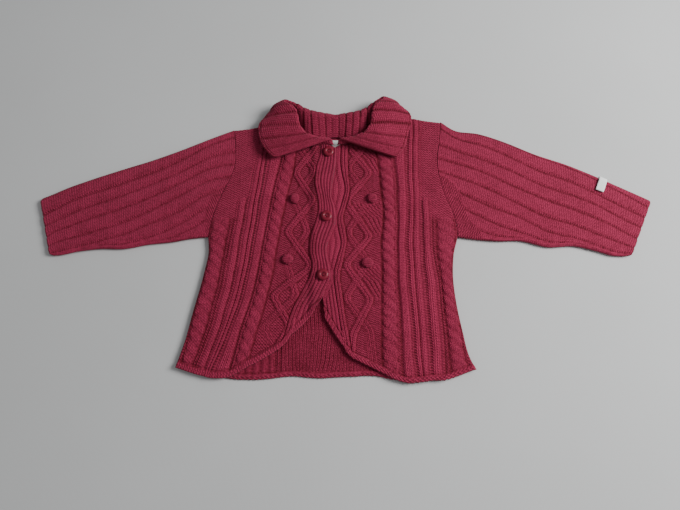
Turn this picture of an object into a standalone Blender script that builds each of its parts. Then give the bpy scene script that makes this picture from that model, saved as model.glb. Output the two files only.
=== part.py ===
"""A baby's cable-knit cotton cardigan, buttoned and laid flat on its back.

Frame: +X to the wearer's left (the viewer's right), +Y towards the collar, +Z up.
The origin lies under the middle of the cardigan, on the surface it rests on.
All tables are in millimetres on the flat garment, and MM turns them into metres.
"""
import math

import bmesh
import bpy
import numpy as np

MM = 0.001
FRAME_SHIFT = (-0.5, 4.16)       # moves the tables' own zero under the middle of the box

# Knitted walls, in millimetres
BACK_WALL = 2.6
FRONT_WALL = 2.4
LAYER_GAP = 0.3                  # between pieces that lie on each other
SEAM_GAP = 0.8                   # between a sleeve's end and the panels' edge
SLEEVE_WALL = 2.2
SLEEVE_SLOT = 0.7                # the sleeve's two layers almost meet
COLLAR_WALL = 2.2
COLLAR_TURN_THIN = 0.7           # taken off each side of the collar where it turns tightly
OVERLAP_RAMP = 9.0               # width of the slope where a front climbs onto the other

# Raised knitting, in millimetres above the wall
CABLE_CREST = 2.2
CABLE_DIP = 1.2
RIB_CREST = 1.5
FINE_CREST = 0.9
STRAND_CREST = 1.3
BAND_CREST = 0.5
BACK_GROOVE = 1.0
SLEEVE_CREST = 1.3
COLLAR_CREST = 0.9

PANEL_ROWS = 48                  # two rows to each turn of a rope cable
LATTICE_PERIOD = 77.0
LATTICE_INNER_Y = 35.0           # where one of its strands touches the band
LATTICE_HALF_WIDTH = 4.4
LATTICE_SPAN = {"right": (0.06, 0.68), "left": (0.08, 0.80)}
YOKE_HEIGHT = 37.0               # above this the outer ribs give way to plain purl

# Round buttons and knitted bobbles
BUTTON_RADIUS = 6.4
BUTTON_HEIGHT = 3.0
BUTTON_HOLE_RADIUS = 0.9
BUTTON_HOLE_SPACING = 2.6
BOBBLE_RADIUS = 7.0
BOBBLE_RISE = 5.2

COLOURS = {
    "knit": (0.30, 0.030, 0.070, 1.0),
    "button": (0.25, 0.020, 0.055, 1.0),
    "label": (0.85, 0.85, 0.84, 1.0),
}
ROUGHNESS = {"knit": 0.9, "button": 0.25, "label": 0.7}

# Heights Y at which the rib lines of a front are given
LEVELS = (130, 100, 60, 20, -20, -70, -120, -160)

# One row for each rib line of a front, from the opening out to the side:
# name, Y of its head, Y of its foot, then X at each of LEVELS
FRONT_RIGHT_LINES = (
    ("opening", 84, -103, (-31, -31, -31, -31, -31, -27, -20, -13)),
    ("band", 107, -134, (-5, -5, -4, -4, -7, -9, -6, -2)),
    ("strand", 106, -146, (5, 5, 4, 3, 0, -2, 2, 8)),
    ("lattice", 116, -161, (30, 36, 41, 43, 41, 40, 39, 40)),
    ("cable", 140, -171, (55, 57, 60, 61, 59, 60, 61, 62)),
    ("rib", 142, -171, (76, 74, 74, 73, 70, 72, 74, 77)),
    ("fine_rib", 139, -169, (92, 91, 90, 89, 89, 90, 92, 93)),
    ("outer_rib", 137, -168, (104, 103, 101, 100, 100, 105, 107, 108)),
)
FRONT_LEFT_LINES = (
    ("opening", 101, -89, (-10, -10, -14, -11, -19, -22, -40, -56)),
    ("band", 106, -119, (-24, -26, -27, -29, -32, -38, -56, -73)),
    ("strand", 104, -135, (-29, -30, -32, -35, -38, -45, -64, -82)),
    ("lattice", 108, -153, (-55, -57, -63, -71, -77, -85, -97, -106)),
    ("cable", 130, -164, (-73, -75, -82, -89, -95, -102, -116, -125)),
    ("rib", 133, -165, (-90, -92, -97, -102, -107, -115, -129, -145)),
    ("fine_rib", 130, -163, (-102, -105, -111, -117, -121, -129, -143, -156)),
    ("outer_rib", 127, -160, (-117, -118, -123, -128, -132, -143, -157, -170)),
)

# Side seam and armhole: Y, X, from the hem up to the shoulder's tip
RIGHT_SIDE = (
    (-157, 140.2), (-147, 135.3), (-116, 128.2), (-85, 123.2), (-52, 121.2), (-28, 123.6),
    (-9, 128.2), (18, 125.0), (39.5, 116.8), (55, 112.8), (75, 109.5), (88, 109.3),
    (113, 113.2), (137, 115.5),
)
LEFT_SIDE = (
    (-154, -182.9), (-127, -175.1), (-96, -168.6), (-50, -158.8), (-28, -155.5), (-9, -156.5),
    (30.5, -148.2), (46, -142.4), (61.5, -135.8), (79, -130.9), (111, -131.6), (126, -133.5),
)
RIGHT_SIDE_ENDS = (135.5, -157)  # Y of the head and the foot of the side line
LEFT_SIDE_ENDS = (125, -154)

# Sections of a front between two rib lines: kind, columns at these fractions
FEATURES = (
    ("band", (0.0, 0.17, 0.33, 0.5, 0.67, 0.83)),
    ("strand", (0.0, 0.5)),
    ("lattice", (0.0, 0.1, 0.2, 0.3, 0.4, 0.5, 0.6, 0.7, 0.8, 0.9)),
    ("cable", (0.0, 0.33, 0.67)),
    ("rib", (0.0, 0.2, 0.8)),
    ("fine_rib", (0.0, 0.17, 0.33, 0.5, 0.67, 0.83)),
    ("outer_rib", (0.0, 0.2, 0.8)),
    ("side_cable", (0.0, 0.2, 0.45, 0.7, 0.9, 1.0)),
)

# Hem of the back, X then Y, and its neck edge with the shoulders, X then Y
BACK_HEM = (
    (-183, -154), (-148, -163), (-120, -168), (-76, -167), (-59, -165), (-32, -167),
    (-6, -166), (33, -165), (55, -169), (99, -168), (140, -157),
)
BACK_TOP = (
    (-133.5, 125), (-103, 130), (-75, 135.5), (-66, 136), (-58, 131), (-49, 121.5),
    (-36, 118.2), (-11.5, 117.5), (13, 118.4), (26, 122), (35, 132), (44, 141), (55, 143.5),
    (80, 141.5), (115.5, 136),
)
BACK_COLUMNS = 64
BACK_RIB_PITCH = 4               # columns to each rib of the back
BACK_RIBS_BELOW = -62.0

# Sleeve sections from the armhole to the cuff:
# X and Y of the upper fold, X and Y of the lower fold
SLEEVE_RIGHT = (
    (116, 137, 128, -9), (134, 125, 149, -12), (161, 121, 174, -14), (192, 110, 202, -14),
    (227, 94, 231, -21), (262, 81, 261, -20), (295, 66, 287, -26), (323, 52, 304, -31),
    (357, 35, 325, -32),
)
SLEEVE_LEFT = (
    (-133, 126, -156, -9), (-160, 115, -176, -11), (-192, 101, -198, -15),
    (-227, 87, -225, -18), (-259, 76, -252, -23), (-290, 65, -279, -23),
    (-321, 53, -304, -26), (-340, 44, -322, -30), (-356, 37, -336, -31),
)
# Where the grooves between a sleeve's ribs cross each section, as a share of its width.
# The last ones run out at the lower fold before the cuff.
SLEEVE_GROOVES = (
    (0.07, 0.21, 0.33, 0.45, 0.57, 0.68, 0.80),
    (0.08, 0.20, 0.32, 0.45, 0.60, 0.76, 0.90),
    (0.12, 0.25, 0.38, 0.53, 0.70, 0.85, 0.96),
    (0.16, 0.31, 0.46, 0.62, 0.77, 0.93, 0.97),
    (0.18, 0.34, 0.49, 0.67, 0.83, 0.95, 0.98),
    (0.21, 0.38, 0.55, 0.74, 0.91, 0.96, 0.98),
    (0.24, 0.41, 0.59, 0.78, 0.94, 0.97, 0.985),
    (0.27, 0.44, 0.62, 0.80, 0.95, 0.97, 0.985),
    (0.32, 0.50, 0.69, 0.87, 0.96, 0.975, 0.988),
)
SLEEVE_ROUND = 2.6               # radius of a sleeve's folded edges
SLEEVE_SECTIONS = 22

# Half of the collar from its front end round to the middle of the back.
# Each row: rib count from the front end, turn in degrees and draw-in of the fall on the
# right, then (out, Y, height) at the neck seam, the roll line, the fall and the free edge
COLLAR_MIDDLE_X = -11.5
COLLAR_HALF = (
    (0.0, 1.5, 1.0, (2, 104.5, 8.9), (4, 108.5, 15.0), (41, 95, 14.0), (73, 85, 12.5)),
    (1.2, 2.0, 2.5, (21, 108, 8.9), (22, 113, 17.0), (56, 102, 16.0), (84.5, 98, 12.3)),
    (2.3, 2.5, 4.0, (40, 114, 8.8), (33, 120, 19.0), (64, 114, 17.2), (91, 114, 11.0)),
    (3.2, 3.0, 0.0, (52, 123, 8.6), (39, 132, 21.0), (67, 129, 17.5), (92, 129, 9.5)),
    (4.1, 3.8, -5.5, (60, 132, 8.0), (43, 144, 22.0), (68, 141, 17.5), (86, 138, 8.8)),
    (5.0, 4.5, -3.0, (66, 138, 6.8), (52, 150, 22.3), (73, 149, 18.0), (80, 147, 5.5)),
    (5.6, 4.5, -1.5, (68, 143, 6.0), (58.5, 153.5, 21.5), (73.5, 153.5, 15.5), (77, 151, 4.0)),
    (6.2, 4.0, -1.0, (63, 148, 5.2), (59, 157.5, 19.0), (64, 160, 11.0), (67, 154, 2.2)),
    (6.9, 2.0, 0.0, (52, 143, 4.5), (48, 152.5, 18.0), (50, 157.5, 9.5), (54, 147, 1.6)),
    (8.0, 0.5, 0.0, (38, 122, 4.3), (38, 145.5, 18.5), (41, 152.5, 9.0), (41, 136, 1.6)),
    (12.5, 0.0, 0.0, (0, 116, 4.1), (0, 136, 16.5), (0, 142, 8.0), (0, 128, 1.6)),
)
# Places of the section's points: 0 is the seam, 1 the roll line, 2 the fall, 3 the edge
COLLAR_PROFILE = (0.0, 0.45, 0.75, 1.0, 1.25, 1.6, 2.0, 2.5, 3.0)
COLLAR_CORNER_RIB = 6.0          # the ribs flatten where the band turns at the shoulder
LEFT_WING_LIFT = 0.6

BUTTONS = (("button_top", -20, 95), ("button_middle", -22, 15), ("button_bottom", -26, -54))
BOBBLES = (
    ("bobble_left_upper", -60, 36), ("bobble_left_lower", -67, -37),
    ("bobble_right_upper", 31, 38), ("bobble_right_lower", 27, -39),
)
NECK_LABEL = (-16.0, -3.0, 103.5, 112.5, 0.5)      # X from, X to, Y from, Y to, thickness
# Corner on the fold, width, length, slope in degrees and thickness of the sleeve's label
SLEEVE_LABEL = (299.7, 64.7, 9.3, 18.0, -24.0, 0.6)


def smooth(keys, values, at):
    """Catmull-Rom curve through values at rising keys, read at each place in at."""
    keys = np.asarray(keys, float)
    values = np.asarray(values, float)
    at = np.clip(np.asarray(at, float), keys[0], keys[-1])
    slopes = np.gradient(values, keys, axis=0)
    i = np.clip(np.searchsorted(keys, at, side="right") - 1, 0, len(keys) - 2)
    width = keys[i + 1] - keys[i]
    t = (at - keys[i]) / width
    if values.ndim > 1:
        t = t[..., None]
        width = width[..., None]
    start = (2 * t**3 - 3 * t**2 + 1) * values[i] + (t**3 - 2 * t**2 + t) * width * slopes[i]
    end = (3 * t**2 - 2 * t**3) * values[i + 1] + (t**3 - t**2) * width * slopes[i + 1]
    return start + end


def table_curve(rows, at):
    """The second column of a two-column table, read at values of the first."""
    rows = sorted(rows)
    return smooth([row[0] for row in rows], [row[1] for row in rows], at)


def ease(t):
    t = np.clip(t, 0.0, 1.0)
    return t * t * (3 - 2 * t)


def material(name):
    made = bpy.data.materials.get(name)
    if made is None:
        made = bpy.data.materials.new(name)
        made.use_nodes = True
        shader = made.node_tree.nodes["Principled BSDF"]
        shader.inputs["Base Color"].default_value = COLOURS[name]
        shader.inputs["Roughness"].default_value = ROUGHNESS[name]
        shader.inputs["Metallic"].default_value = 0.0
        made.diffuse_color = COLOURS[name]
    return made


def finish(bm, name, kind):
    """Turn a bmesh in millimetres into a named, shaded object in the cardigan's frame."""
    shift = (FRAME_SHIFT[0], FRAME_SHIFT[1], 0.0)
    bmesh.ops.translate(bm, vec=shift, verts=bm.verts)
    bmesh.ops.scale(bm, vec=(MM, MM, MM), verts=bm.verts)
    bmesh.ops.recalc_face_normals(bm, faces=bm.faces)
    mesh = bpy.data.meshes.new(name)
    bm.to_mesh(mesh)
    bm.free()
    mesh.materials.append(material(kind))
    made = bpy.data.objects.new(name, mesh)
    bpy.data.collections["baby_cardigan"].objects.link(made)
    return made


def wall(name, upper, lower, kind="knit", ring=False):
    """A closed wall between two grids of points with the same rows and columns.

    With ring set, each row closes on itself and the wall is a tube with open ends.
    """
    bm = bmesh.new()
    rows, columns = upper.shape[:2]
    top = [[bm.verts.new(point) for point in row] for row in upper]
    base = [[bm.verts.new(point) for point in row] for row in lower]
    around = columns if ring else columns - 1
    for r in range(rows - 1):
        for c in range(around):
            d = (c + 1) % columns
            bm.faces.new((top[r][c], top[r][d], top[r + 1][d], top[r + 1][c]))
            bm.faces.new((base[r][c], base[r + 1][c], base[r + 1][d], base[r][d]))
    for r in (0, rows - 1):
        for c in range(around):
            d = (c + 1) % columns
            bm.faces.new((top[r][c], base[r][c], base[r][d], top[r][d]))
    if not ring:
        for c in (0, columns - 1):
            for r in range(rows - 1):
                bm.faces.new((top[r][c], top[r + 1][c], base[r + 1][c], base[r][c]))
    bmesh.ops.recalc_face_normals(bm, faces=bm.faces)
    bmesh.ops.dissolve_limit(bm, angle_limit=math.radians(0.2), verts=bm.verts, edges=bm.edges)
    bmesh.ops.triangulate(bm, faces=bm.faces)
    return finish(bm, name, kind)


def lattice_height(fraction, width, y, span):
    """Two strands that zigzag across the diamond column and cross each other."""
    height = np.zeros_like(y)
    for inner_y in (LATTICE_INNER_Y, LATTICE_INNER_Y - LATTICE_PERIOD / 2):
        phase = (y - inner_y) / LATTICE_PERIOD
        swing = 2 * np.abs(phase - np.round(phase))
        middle = span[0] + (span[1] - span[0]) * swing
        away = np.abs(fraction - middle) * width * 0.85
        height = np.maximum(height, STRAND_CREST * ease(1.25 - away / LATTICE_HALF_WIDTH))
    return height


def front_height(kind, fraction, width, y, row, hand):
    """Height of the knitting above a front's wall, in one of its FEATURES."""
    below_yoke = ease((YOKE_HEIGHT - y) / 12.0 + 0.5)
    if kind == "band":
        return 0.2 + BAND_CREST * np.abs(np.sin(3 * math.pi * fraction)) + 0 * y
    if kind == "strand":
        return STRAND_CREST * np.sin(math.pi * fraction) + 0 * y
    if kind == "lattice":
        return lattice_height(fraction, width, y, LATTICE_SPAN[hand])
    if kind == "cable":
        if fraction == 0:
            return 0 * y
        leading = (row + (fraction > 0.5)) % 2
        return CABLE_DIP + (CABLE_CREST - CABLE_DIP) * leading
    if kind == "rib":
        return (RIB_CREST if fraction else 0.0) + 0 * y
    if kind == "fine_rib":
        return FINE_CREST * np.abs(np.sin(3 * math.pi * fraction)) + 0 * y
    if kind == "outer_rib":
        return (RIB_CREST * below_yoke) if fraction else 0 * y
    crest = CABLE_DIP + (CABLE_CREST - CABLE_DIP) * ((row + (fraction > 0.5)) % 2)
    return crest * below_yoke * math.sin(math.pi * min(fraction, 0.9)) ** 0.5


def front_points(lines, side, side_ends, hand):
    """Points of a front's plan, one column for each rib line and fraction between them.

    Returns the X, Y and raised height of each point, as arrays of rows and columns.
    """
    t = np.linspace(0.0, 1.0, PANEL_ROWS + 1)
    rows = np.arange(PANEL_ROWS + 1)
    heads = [line[1] for line in lines] + [side_ends[0]]
    feet = [line[2] for line in lines] + [side_ends[1]]

    def line_x(index, y):
        if index == len(lines):
            return table_curve(side, y)
        return smooth(LEVELS[::-1], lines[index][3][::-1], y)

    xs = []
    ys = []
    heights = []
    for index, (kind, fractions) in enumerate(FEATURES):
        for fraction in fractions:
            place = index + fraction
            head = smooth(np.arange(len(heads)), heads, place)
            foot = smooth(np.arange(len(feet)), feet, place)
            y = foot + (head - foot) * t
            inner = line_x(index, y)
            outer = line_x(index + 1, y)
            xs.append(inner + (outer - inner) * fraction)
            ys.append(y)
            width = np.abs(outer - inner)
            heights.append(front_height(kind, fraction, width, y, rows, hand))
    heights = np.array(heights).T
    heights[0] *= 0.4
    heights[-1] *= 0.4
    heights[:, -1] = 0.0
    return np.array(xs).T, np.array(ys).T, heights


def make_front_right():
    """The button side: its band lies under the other front."""
    x, y, height = front_points(FRONT_RIGHT_LINES, RIGHT_SIDE, RIGHT_SIDE_ENDS, "right")
    cover = smooth(LEVELS[::-1], FRONT_LEFT_LINES[0][3][::-1], y)
    height *= ease((x - cover - 4.0) / 3.0)
    base = BACK_WALL + LAYER_GAP
    upper = np.stack((x, y, base + FRONT_WALL + height), axis=-1)
    lower = np.stack((x, y, base + label_lift(x, y)), axis=-1)
    return wall("front_right", upper, lower)


def label_lift(x, y):
    """The underside is lifted where it lies on the neck label."""
    x0, x1, y0, _, thickness = NECK_LABEL
    over = ease((x - x0 + 10) / 5) * ease((x1 + 12 - x) / 5) * ease((y - y0 + 10) / 4)
    return (thickness + LAYER_GAP) * over


def overlap_lift(x):
    """How far the buttonhole side is lifted where it lies on the button side."""
    start = FRONT_RIGHT_LINES[0][3][2] - 3.0 - OVERLAP_RAMP
    return (FRONT_WALL + LAYER_GAP) * ease((x - start) / OVERLAP_RAMP)


def make_front_left():
    """The buttonhole side: it climbs onto the other band near the opening."""
    x, y, height = front_points(FRONT_LEFT_LINES, LEFT_SIDE, LEFT_SIDE_ENDS, "left")
    base = BACK_WALL + LAYER_GAP + overlap_lift(x)
    upper = np.stack((x, y, base + FRONT_WALL + height), axis=-1)
    lower = np.stack((x, y, base), axis=-1)
    return wall("front_left", upper, lower)


def make_back():
    """One flat panel with ribs on the inside, where the fronts are cut away."""
    t = np.linspace(0.0, 1.0, PANEL_ROWS + 1)
    share = np.linspace(0.0, 1.0, BACK_COLUMNS + 1)
    left = table_curve(LEFT_SIDE, LEFT_SIDE_ENDS[1] + (LEFT_SIDE_ENDS[0] - LEFT_SIDE_ENDS[1]) * t)
    right_y = RIGHT_SIDE_ENDS[1] + (RIGHT_SIDE_ENDS[0] - RIGHT_SIDE_ENDS[1]) * t
    right = table_curve(RIGHT_SIDE, right_y)
    x = left[:, None] + (right - left)[:, None] * share[None, :]
    foot = table_curve(BACK_HEM, x[0])
    head = table_curve(BACK_TOP, x[-1])
    y = foot[None, :] + (head - foot)[None, :] * t[:, None]
    columns = np.arange(BACK_COLUMNS + 1)
    groove = (columns % BACK_RIB_PITCH == 0) * BACK_GROOVE
    shown = ease((BACK_RIBS_BELOW - y) / 12.0) * ease((x + 130) / 10) * ease((70 - x) / 10)
    drop = groove[None, :] * shown
    drop[0] = 0.0
    upper = np.stack((x, y, BACK_WALL - drop), axis=-1)
    lower = np.stack((x, y, 0 * x), axis=-1)
    return wall("back", upper, lower)


def sleeve_section(sections, station):
    """Upper fold, lower fold and armhole bow of a sleeve at a place along it."""
    row = smooth(np.arange(len(sections)), sections, np.array([station]))[0]
    fade = max(0.0, 1.0 - station / 3.0) ** 2
    return row[:2], row[2:], fade


def sleeve_plan(sections, side, station, fraction):
    """X and Y on a sleeve: station along it, fraction across from upper to lower fold."""
    upper, lower, fade = sleeve_section(sections, station)
    fraction = np.asarray(fraction, float)
    points = upper + (lower - upper) * fraction[:, None]
    first_upper = np.array(sections[0][:2])
    first_lower = np.array(sections[0][2:])
    chord = first_upper + (first_lower - first_upper) * fraction[:, None]
    bow = table_curve(side, chord[:, 1]) - chord[:, 0]
    out = math.copysign(SEAM_GAP, sections[-1][0])
    points[:, 0] += (bow + out) * fade
    return points


def sleeve_grooves(station):
    return smooth(np.arange(len(SLEEVE_GROOVES)), SLEEVE_GROOVES, np.array([station]))[0]


def sleeve_columns(station, width):
    """Fractions across a sleeve's upper layer, with the knitting's height at each."""
    grooves = sleeve_grooves(station)
    borders = np.concatenate(([0.0], grooves, [1.0]))
    fractions = []
    heights = []
    for start, end in zip(borders[:-1], borders[1:]):
        crest = SLEEVE_CREST * float(ease(((end - start) * width - 2.0) / 6.0))
        for share, rise in ((0.0, 0.0), (0.22, 1.0), (0.78, 1.0)):
            fractions.append(start + (end - start) * share)
            heights.append(crest * rise)
    return np.array(fractions[1:]), np.array(heights[1:])


def edge_round(distance):
    """How far a sleeve's surface is drawn in near a folded edge."""
    near = np.clip(distance, 0.0, SLEEVE_ROUND)
    return SLEEVE_ROUND - np.sqrt(SLEEVE_ROUND**2 - (SLEEVE_ROUND - near) ** 2)


def sleeve_ring(sections, side, station):
    """Outer and inner points of one section of a sleeve."""
    upper, lower, _ = sleeve_section(sections, station)
    width = float(np.linalg.norm(lower - upper))
    thickness = 2 * SLEEVE_WALL + SLEEVE_SLOT
    fractions, heights = sleeve_columns(station, width)
    fractions = np.clip(fractions, 0.6 / width, 1 - 0.6 / width)
    away = np.minimum(fractions, 1 - fractions) * width
    top = thickness + heights * ease(away / 5.0) - edge_round(away)
    under = np.array([1 - 0.7 / width, 1 - SLEEVE_ROUND / width, SLEEVE_ROUND / width, 0.7 / width])
    under_away = np.minimum(under, 1 - under) * width
    across = np.concatenate(([0.0], fractions, [1.0], under))
    height = np.concatenate(([SLEEVE_ROUND], top, [SLEEVE_ROUND], edge_round(under_away)))
    outer = np.column_stack((sleeve_plan(sections, side, station, across), height))
    inset = SLEEVE_WALL / width
    across_in = inset + (1 - 2 * inset) * across
    middle = SLEEVE_WALL + SLEEVE_SLOT / 2
    half = np.concatenate(([0.0], np.ones(len(fractions)), [0.0], -np.ones(4))) * SLEEVE_SLOT / 2
    inner = np.column_stack((sleeve_plan(sections, side, station, across_in), middle + half))
    return outer, inner


def make_sleeve(name, sections, side):
    stations = np.linspace(0.0, len(sections) - 1.0, SLEEVE_SECTIONS)
    rings = [sleeve_ring(sections, side, station) for station in stations]
    outer = np.array([ring[0] for ring in rings])
    inner = np.array([ring[1] for ring in rings])
    return wall(name, outer, inner, ring=True)


def collar_frame(rib):
    """Control points of the collar's section at a rib count, negative on the left."""
    ribs = [row[0] for row in COLLAR_HALF]
    turns = [row[1] for row in COLLAR_HALF]
    draw_in = [row[2] for row in COLLAR_HALF]
    table = np.array([np.ravel(row[3:]) for row in COLLAR_HALF])
    from_end = np.array([ribs[-1] - abs(rib)])
    points = smooth(ribs, table, from_end)[0].reshape(4, 3)
    if rib > 0:
        points[2:, 0] -= float(smooth(ribs, draw_in, from_end)[0])
        turn = math.radians(float(smooth(ribs, turns, from_end)[0]))
        pivot = np.array((0.0, 115.0))
        spin = np.array(((math.cos(turn), -math.sin(turn)), (math.sin(turn), math.cos(turn))))
        points[:, :2] = (points[:, :2] - pivot) @ spin.T + pivot
    else:
        points[:, 0] *= -1
        points[2:, 2] += LEFT_WING_LIFT * float(ease(2.0 - from_end[0]))
    points[:, 0] += COLLAR_MIDDLE_X
    return points


def collar_section(points):
    """A section through its control points, rounded where it turns over the roll line."""
    places = np.arange(len(points))
    section = np.column_stack([np.interp(COLLAR_PROFILE, places, c) for c in points.T])
    section[1:-1] = (section[:-2] + 2 * section[1:-1] + section[2:]) / 4
    return section


def bisectors(points, axis):
    """Direction of a grid's lines at each point, halfway between its two segments."""
    steps = np.diff(points, axis=axis)
    steps /= np.linalg.norm(steps, axis=2, keepdims=True)
    first = steps.take([0], axis=axis)
    last = steps.take([-1], axis=axis)
    return np.concatenate((first, steps), axis=axis) + np.concatenate((steps, last), axis=axis)


def upward_normals(points, probe):
    """Unit normals of a grid of points, turned so that the one at probe points up."""
    normal = np.cross(bisectors(points, 0), bisectors(points, 1))
    normal /= np.linalg.norm(normal, axis=2, keepdims=True)
    return normal * math.copysign(1.0, normal[probe][2])


def collar_grid():
    """Middle surface of the collar, its normals, the ribs' height and the corner's fade."""
    per_rib = 3
    half = int(COLLAR_HALF[-1][0] * per_rib)
    steps = np.arange(-half - 0.5, half + 1.0)
    last = COLLAR_HALF[-1][0]
    ribs = np.clip(steps / per_rib, -last, last)
    surface = np.array([collar_section(collar_frame(rib)) for rib in ribs])
    normal = upward_normals(surface, (half, 1))
    from_end = last - np.abs(ribs)
    crest = (np.abs(from_end - np.round(from_end)) > 0.2).astype(float)
    corner = ease((np.abs(from_end - COLLAR_CORNER_RIB) - 0.4) / 0.8)
    return surface, normal, crest * corner, corner


def make_collar():
    """A ribbed band, folded over along its roll line, with its wings on the fronts."""
    surface, normal, crest, corner = collar_grid()
    rise = crest[:, None] * COLLAR_CREST * np.ones(surface.shape[:2])
    rise[:, 0] = 0.0
    rise[:, -1] *= 0.3
    rise[0] = 0.0
    rise[-1] = 0.0
    # The wall is thinner on the inside of its two turns
    roll = 1 - ease(1.6 - np.abs(np.array(COLLAR_PROFILE) - 1.0) / 0.5)
    seen_wall = COLLAR_WALL / 2 - COLLAR_TURN_THIN * (1 - corner)
    inside_wall = COLLAR_WALL / 2 - COLLAR_TURN_THIN * (1 - roll)
    seen = surface + normal * (seen_wall[:, None] + rise)[..., None]
    inside = surface - normal * inside_wall[None, :, None]
    return wall("collar", seen, inside)


def make_button(name, x, y):
    """A round button with a raised rim and two sewing holes, turned about its axis."""
    r = BUTTON_RADIUS
    h = BUTTON_HEIGHT
    base = BACK_WALL + 2 * (LAYER_GAP + FRONT_WALL) + BAND_CREST + 0.2 + LAYER_GAP
    profile = (
        (0.0, 0.0), (r * 0.75, 0.0), (r, h * 0.4), (r, h * 0.75), (r * 0.88, h),
        (r * 0.72, h * 0.95), (r * 0.55, h * 0.62), (0.0, h * 0.55),
    )
    bm = bmesh.new()
    verts = [bm.verts.new((px, 0.0, pz)) for px, pz in profile]
    edges = [bm.edges.new(pair) for pair in zip(verts[:-1], verts[1:])]
    bmesh.ops.spin(
        bm, geom=verts + edges, cent=(0, 0, 0), axis=(0, 0, 1), angle=math.tau, steps=18,
        use_merge=True, use_duplicate=False,
    )
    bmesh.ops.remove_doubles(bm, verts=bm.verts, dist=0.0001)
    bmesh.ops.translate(bm, vec=(x, y, base), verts=bm.verts)
    made = finish(bm, name, "button")
    for side in (-1, 1):
        hole = make_hole(f"{name}_hole_{side + 1}", x, y + side * BUTTON_HOLE_SPACING / 2, base)
        cut = made.modifiers.new("hole", "BOOLEAN")
        cut.operation = "DIFFERENCE"
        cut.object = hole
    return made


def make_hole(name, x, y, base):
    bm = bmesh.new()
    bmesh.ops.create_cone(
        bm, cap_ends=True, segments=8, radius1=BUTTON_HOLE_RADIUS, radius2=BUTTON_HOLE_RADIUS,
        depth=3 * BUTTON_HEIGHT,
    )
    bmesh.ops.translate(bm, vec=(x, y, base), verts=bm.verts)
    made = finish(bm, name, "button")
    bpy.data.collections["baby_cardigan"].objects.unlink(made)
    bpy.data.collections["cutters"].objects.link(made)
    made.hide_render = True
    made.display_type = "WIRE"
    return made


def make_bobble(name, x, y):
    """A knitted ball that sits on the diamond column."""
    base = BACK_WALL + LAYER_GAP + FRONT_WALL + STRAND_CREST + LAYER_GAP
    bm = bmesh.new()
    bmesh.ops.create_uvsphere(bm, u_segments=12, v_segments=8, radius=1.0)
    bmesh.ops.scale(bm, vec=(BOBBLE_RADIUS, BOBBLE_RADIUS, BOBBLE_RISE * 0.7), verts=bm.verts)
    floor = -BOBBLE_RISE * 0.3
    geometry = list(bm.verts) + list(bm.edges) + list(bm.faces)
    bmesh.ops.bisect_plane(
        bm, geom=geometry, plane_co=(0, 0, floor), plane_no=(0, 0, -1), clear_outer=True,
    )
    rim = [edge for edge in bm.edges if edge.is_boundary]
    bmesh.ops.edgeloop_fill(bm, edges=rim)
    bmesh.ops.translate(bm, vec=(x, y, base - floor), verts=bm.verts)
    return finish(bm, name, "knit")


def make_neck_label():
    """A small blank tape inside the back's neck."""
    x0, x1, y0, y1, thickness = NECK_LABEL
    bm = bmesh.new()
    bmesh.ops.create_cube(bm, size=1.0)
    bmesh.ops.scale(bm, vec=(x1 - x0, y1 - y0, thickness), verts=bm.verts)
    centre = ((x0 + x1) / 2, (y0 + y1) / 2, BACK_WALL + LAYER_GAP + thickness / 2)
    bmesh.ops.translate(bm, vec=centre, verts=bm.verts)
    return finish(bm, "neck_label", "label")


def make_sleeve_label():
    """A blank woven tape sewn round the upper fold of the right sleeve, near its cuff."""
    x, y, width, length, slope, thickness = SLEEVE_LABEL
    along = np.array((math.cos(math.radians(slope)), math.sin(math.radians(slope))))
    inward = np.array((along[1], -along[0]))
    top = 2 * SLEEVE_WALL + SLEEVE_SLOT
    over = top + SLEEVE_CREST + LAYER_GAP
    profile = (                     # distance in from the fold, and height
        (length, over), (length * 0.6, over), (length * 0.25, over - 0.1),
        (1.0, top - 0.2), (-0.7, SLEEVE_ROUND + 0.8), (-0.7, 1.2),
    )
    rows = []
    for share in (0.0, 0.5, 1.0):
        start = np.array((x, y)) + along * width * share
        rows.append([(*(start + inward * d), z) for d, z in profile])
    inside = np.array(rows)
    outside = inside + upward_normals(inside, (0, 0)) * thickness
    return wall("sleeve_label", outside, inside, kind="label")


def main():
    for old in list(bpy.data.objects):
        bpy.data.objects.remove(old)
    for name in ("baby_cardigan", "cutters"):
        collection = bpy.data.collections.new(name)
        bpy.context.scene.collection.children.link(collection)
    make_back()
    make_front_right()
    make_front_left()
    make_sleeve("sleeve_right", SLEEVE_RIGHT, RIGHT_SIDE)
    make_sleeve("sleeve_left", SLEEVE_LEFT, LEFT_SIDE)
    make_collar()
    for name, x, y in BUTTONS:
        make_button(name, x, y)
    for name, x, y in BOBBLES:
        make_bobble(name, x, y)
    make_neck_label()
    make_sleeve_label()


main()
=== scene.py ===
import math
from collections import namedtuple

import bmesh
import bpy
import numpy as np
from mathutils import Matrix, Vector


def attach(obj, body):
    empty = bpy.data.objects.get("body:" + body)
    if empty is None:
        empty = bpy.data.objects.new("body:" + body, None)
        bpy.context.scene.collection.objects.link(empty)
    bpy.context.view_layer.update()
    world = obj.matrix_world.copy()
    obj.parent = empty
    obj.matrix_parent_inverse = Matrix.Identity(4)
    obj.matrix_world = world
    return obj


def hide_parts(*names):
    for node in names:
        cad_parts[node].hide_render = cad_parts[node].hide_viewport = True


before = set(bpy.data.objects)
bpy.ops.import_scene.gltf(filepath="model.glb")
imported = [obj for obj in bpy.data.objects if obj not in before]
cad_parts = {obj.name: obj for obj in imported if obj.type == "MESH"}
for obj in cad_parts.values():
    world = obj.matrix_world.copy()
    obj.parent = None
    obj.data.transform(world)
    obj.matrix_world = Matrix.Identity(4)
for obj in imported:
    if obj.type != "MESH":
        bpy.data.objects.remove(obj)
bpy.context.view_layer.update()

MM = 0.001
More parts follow.
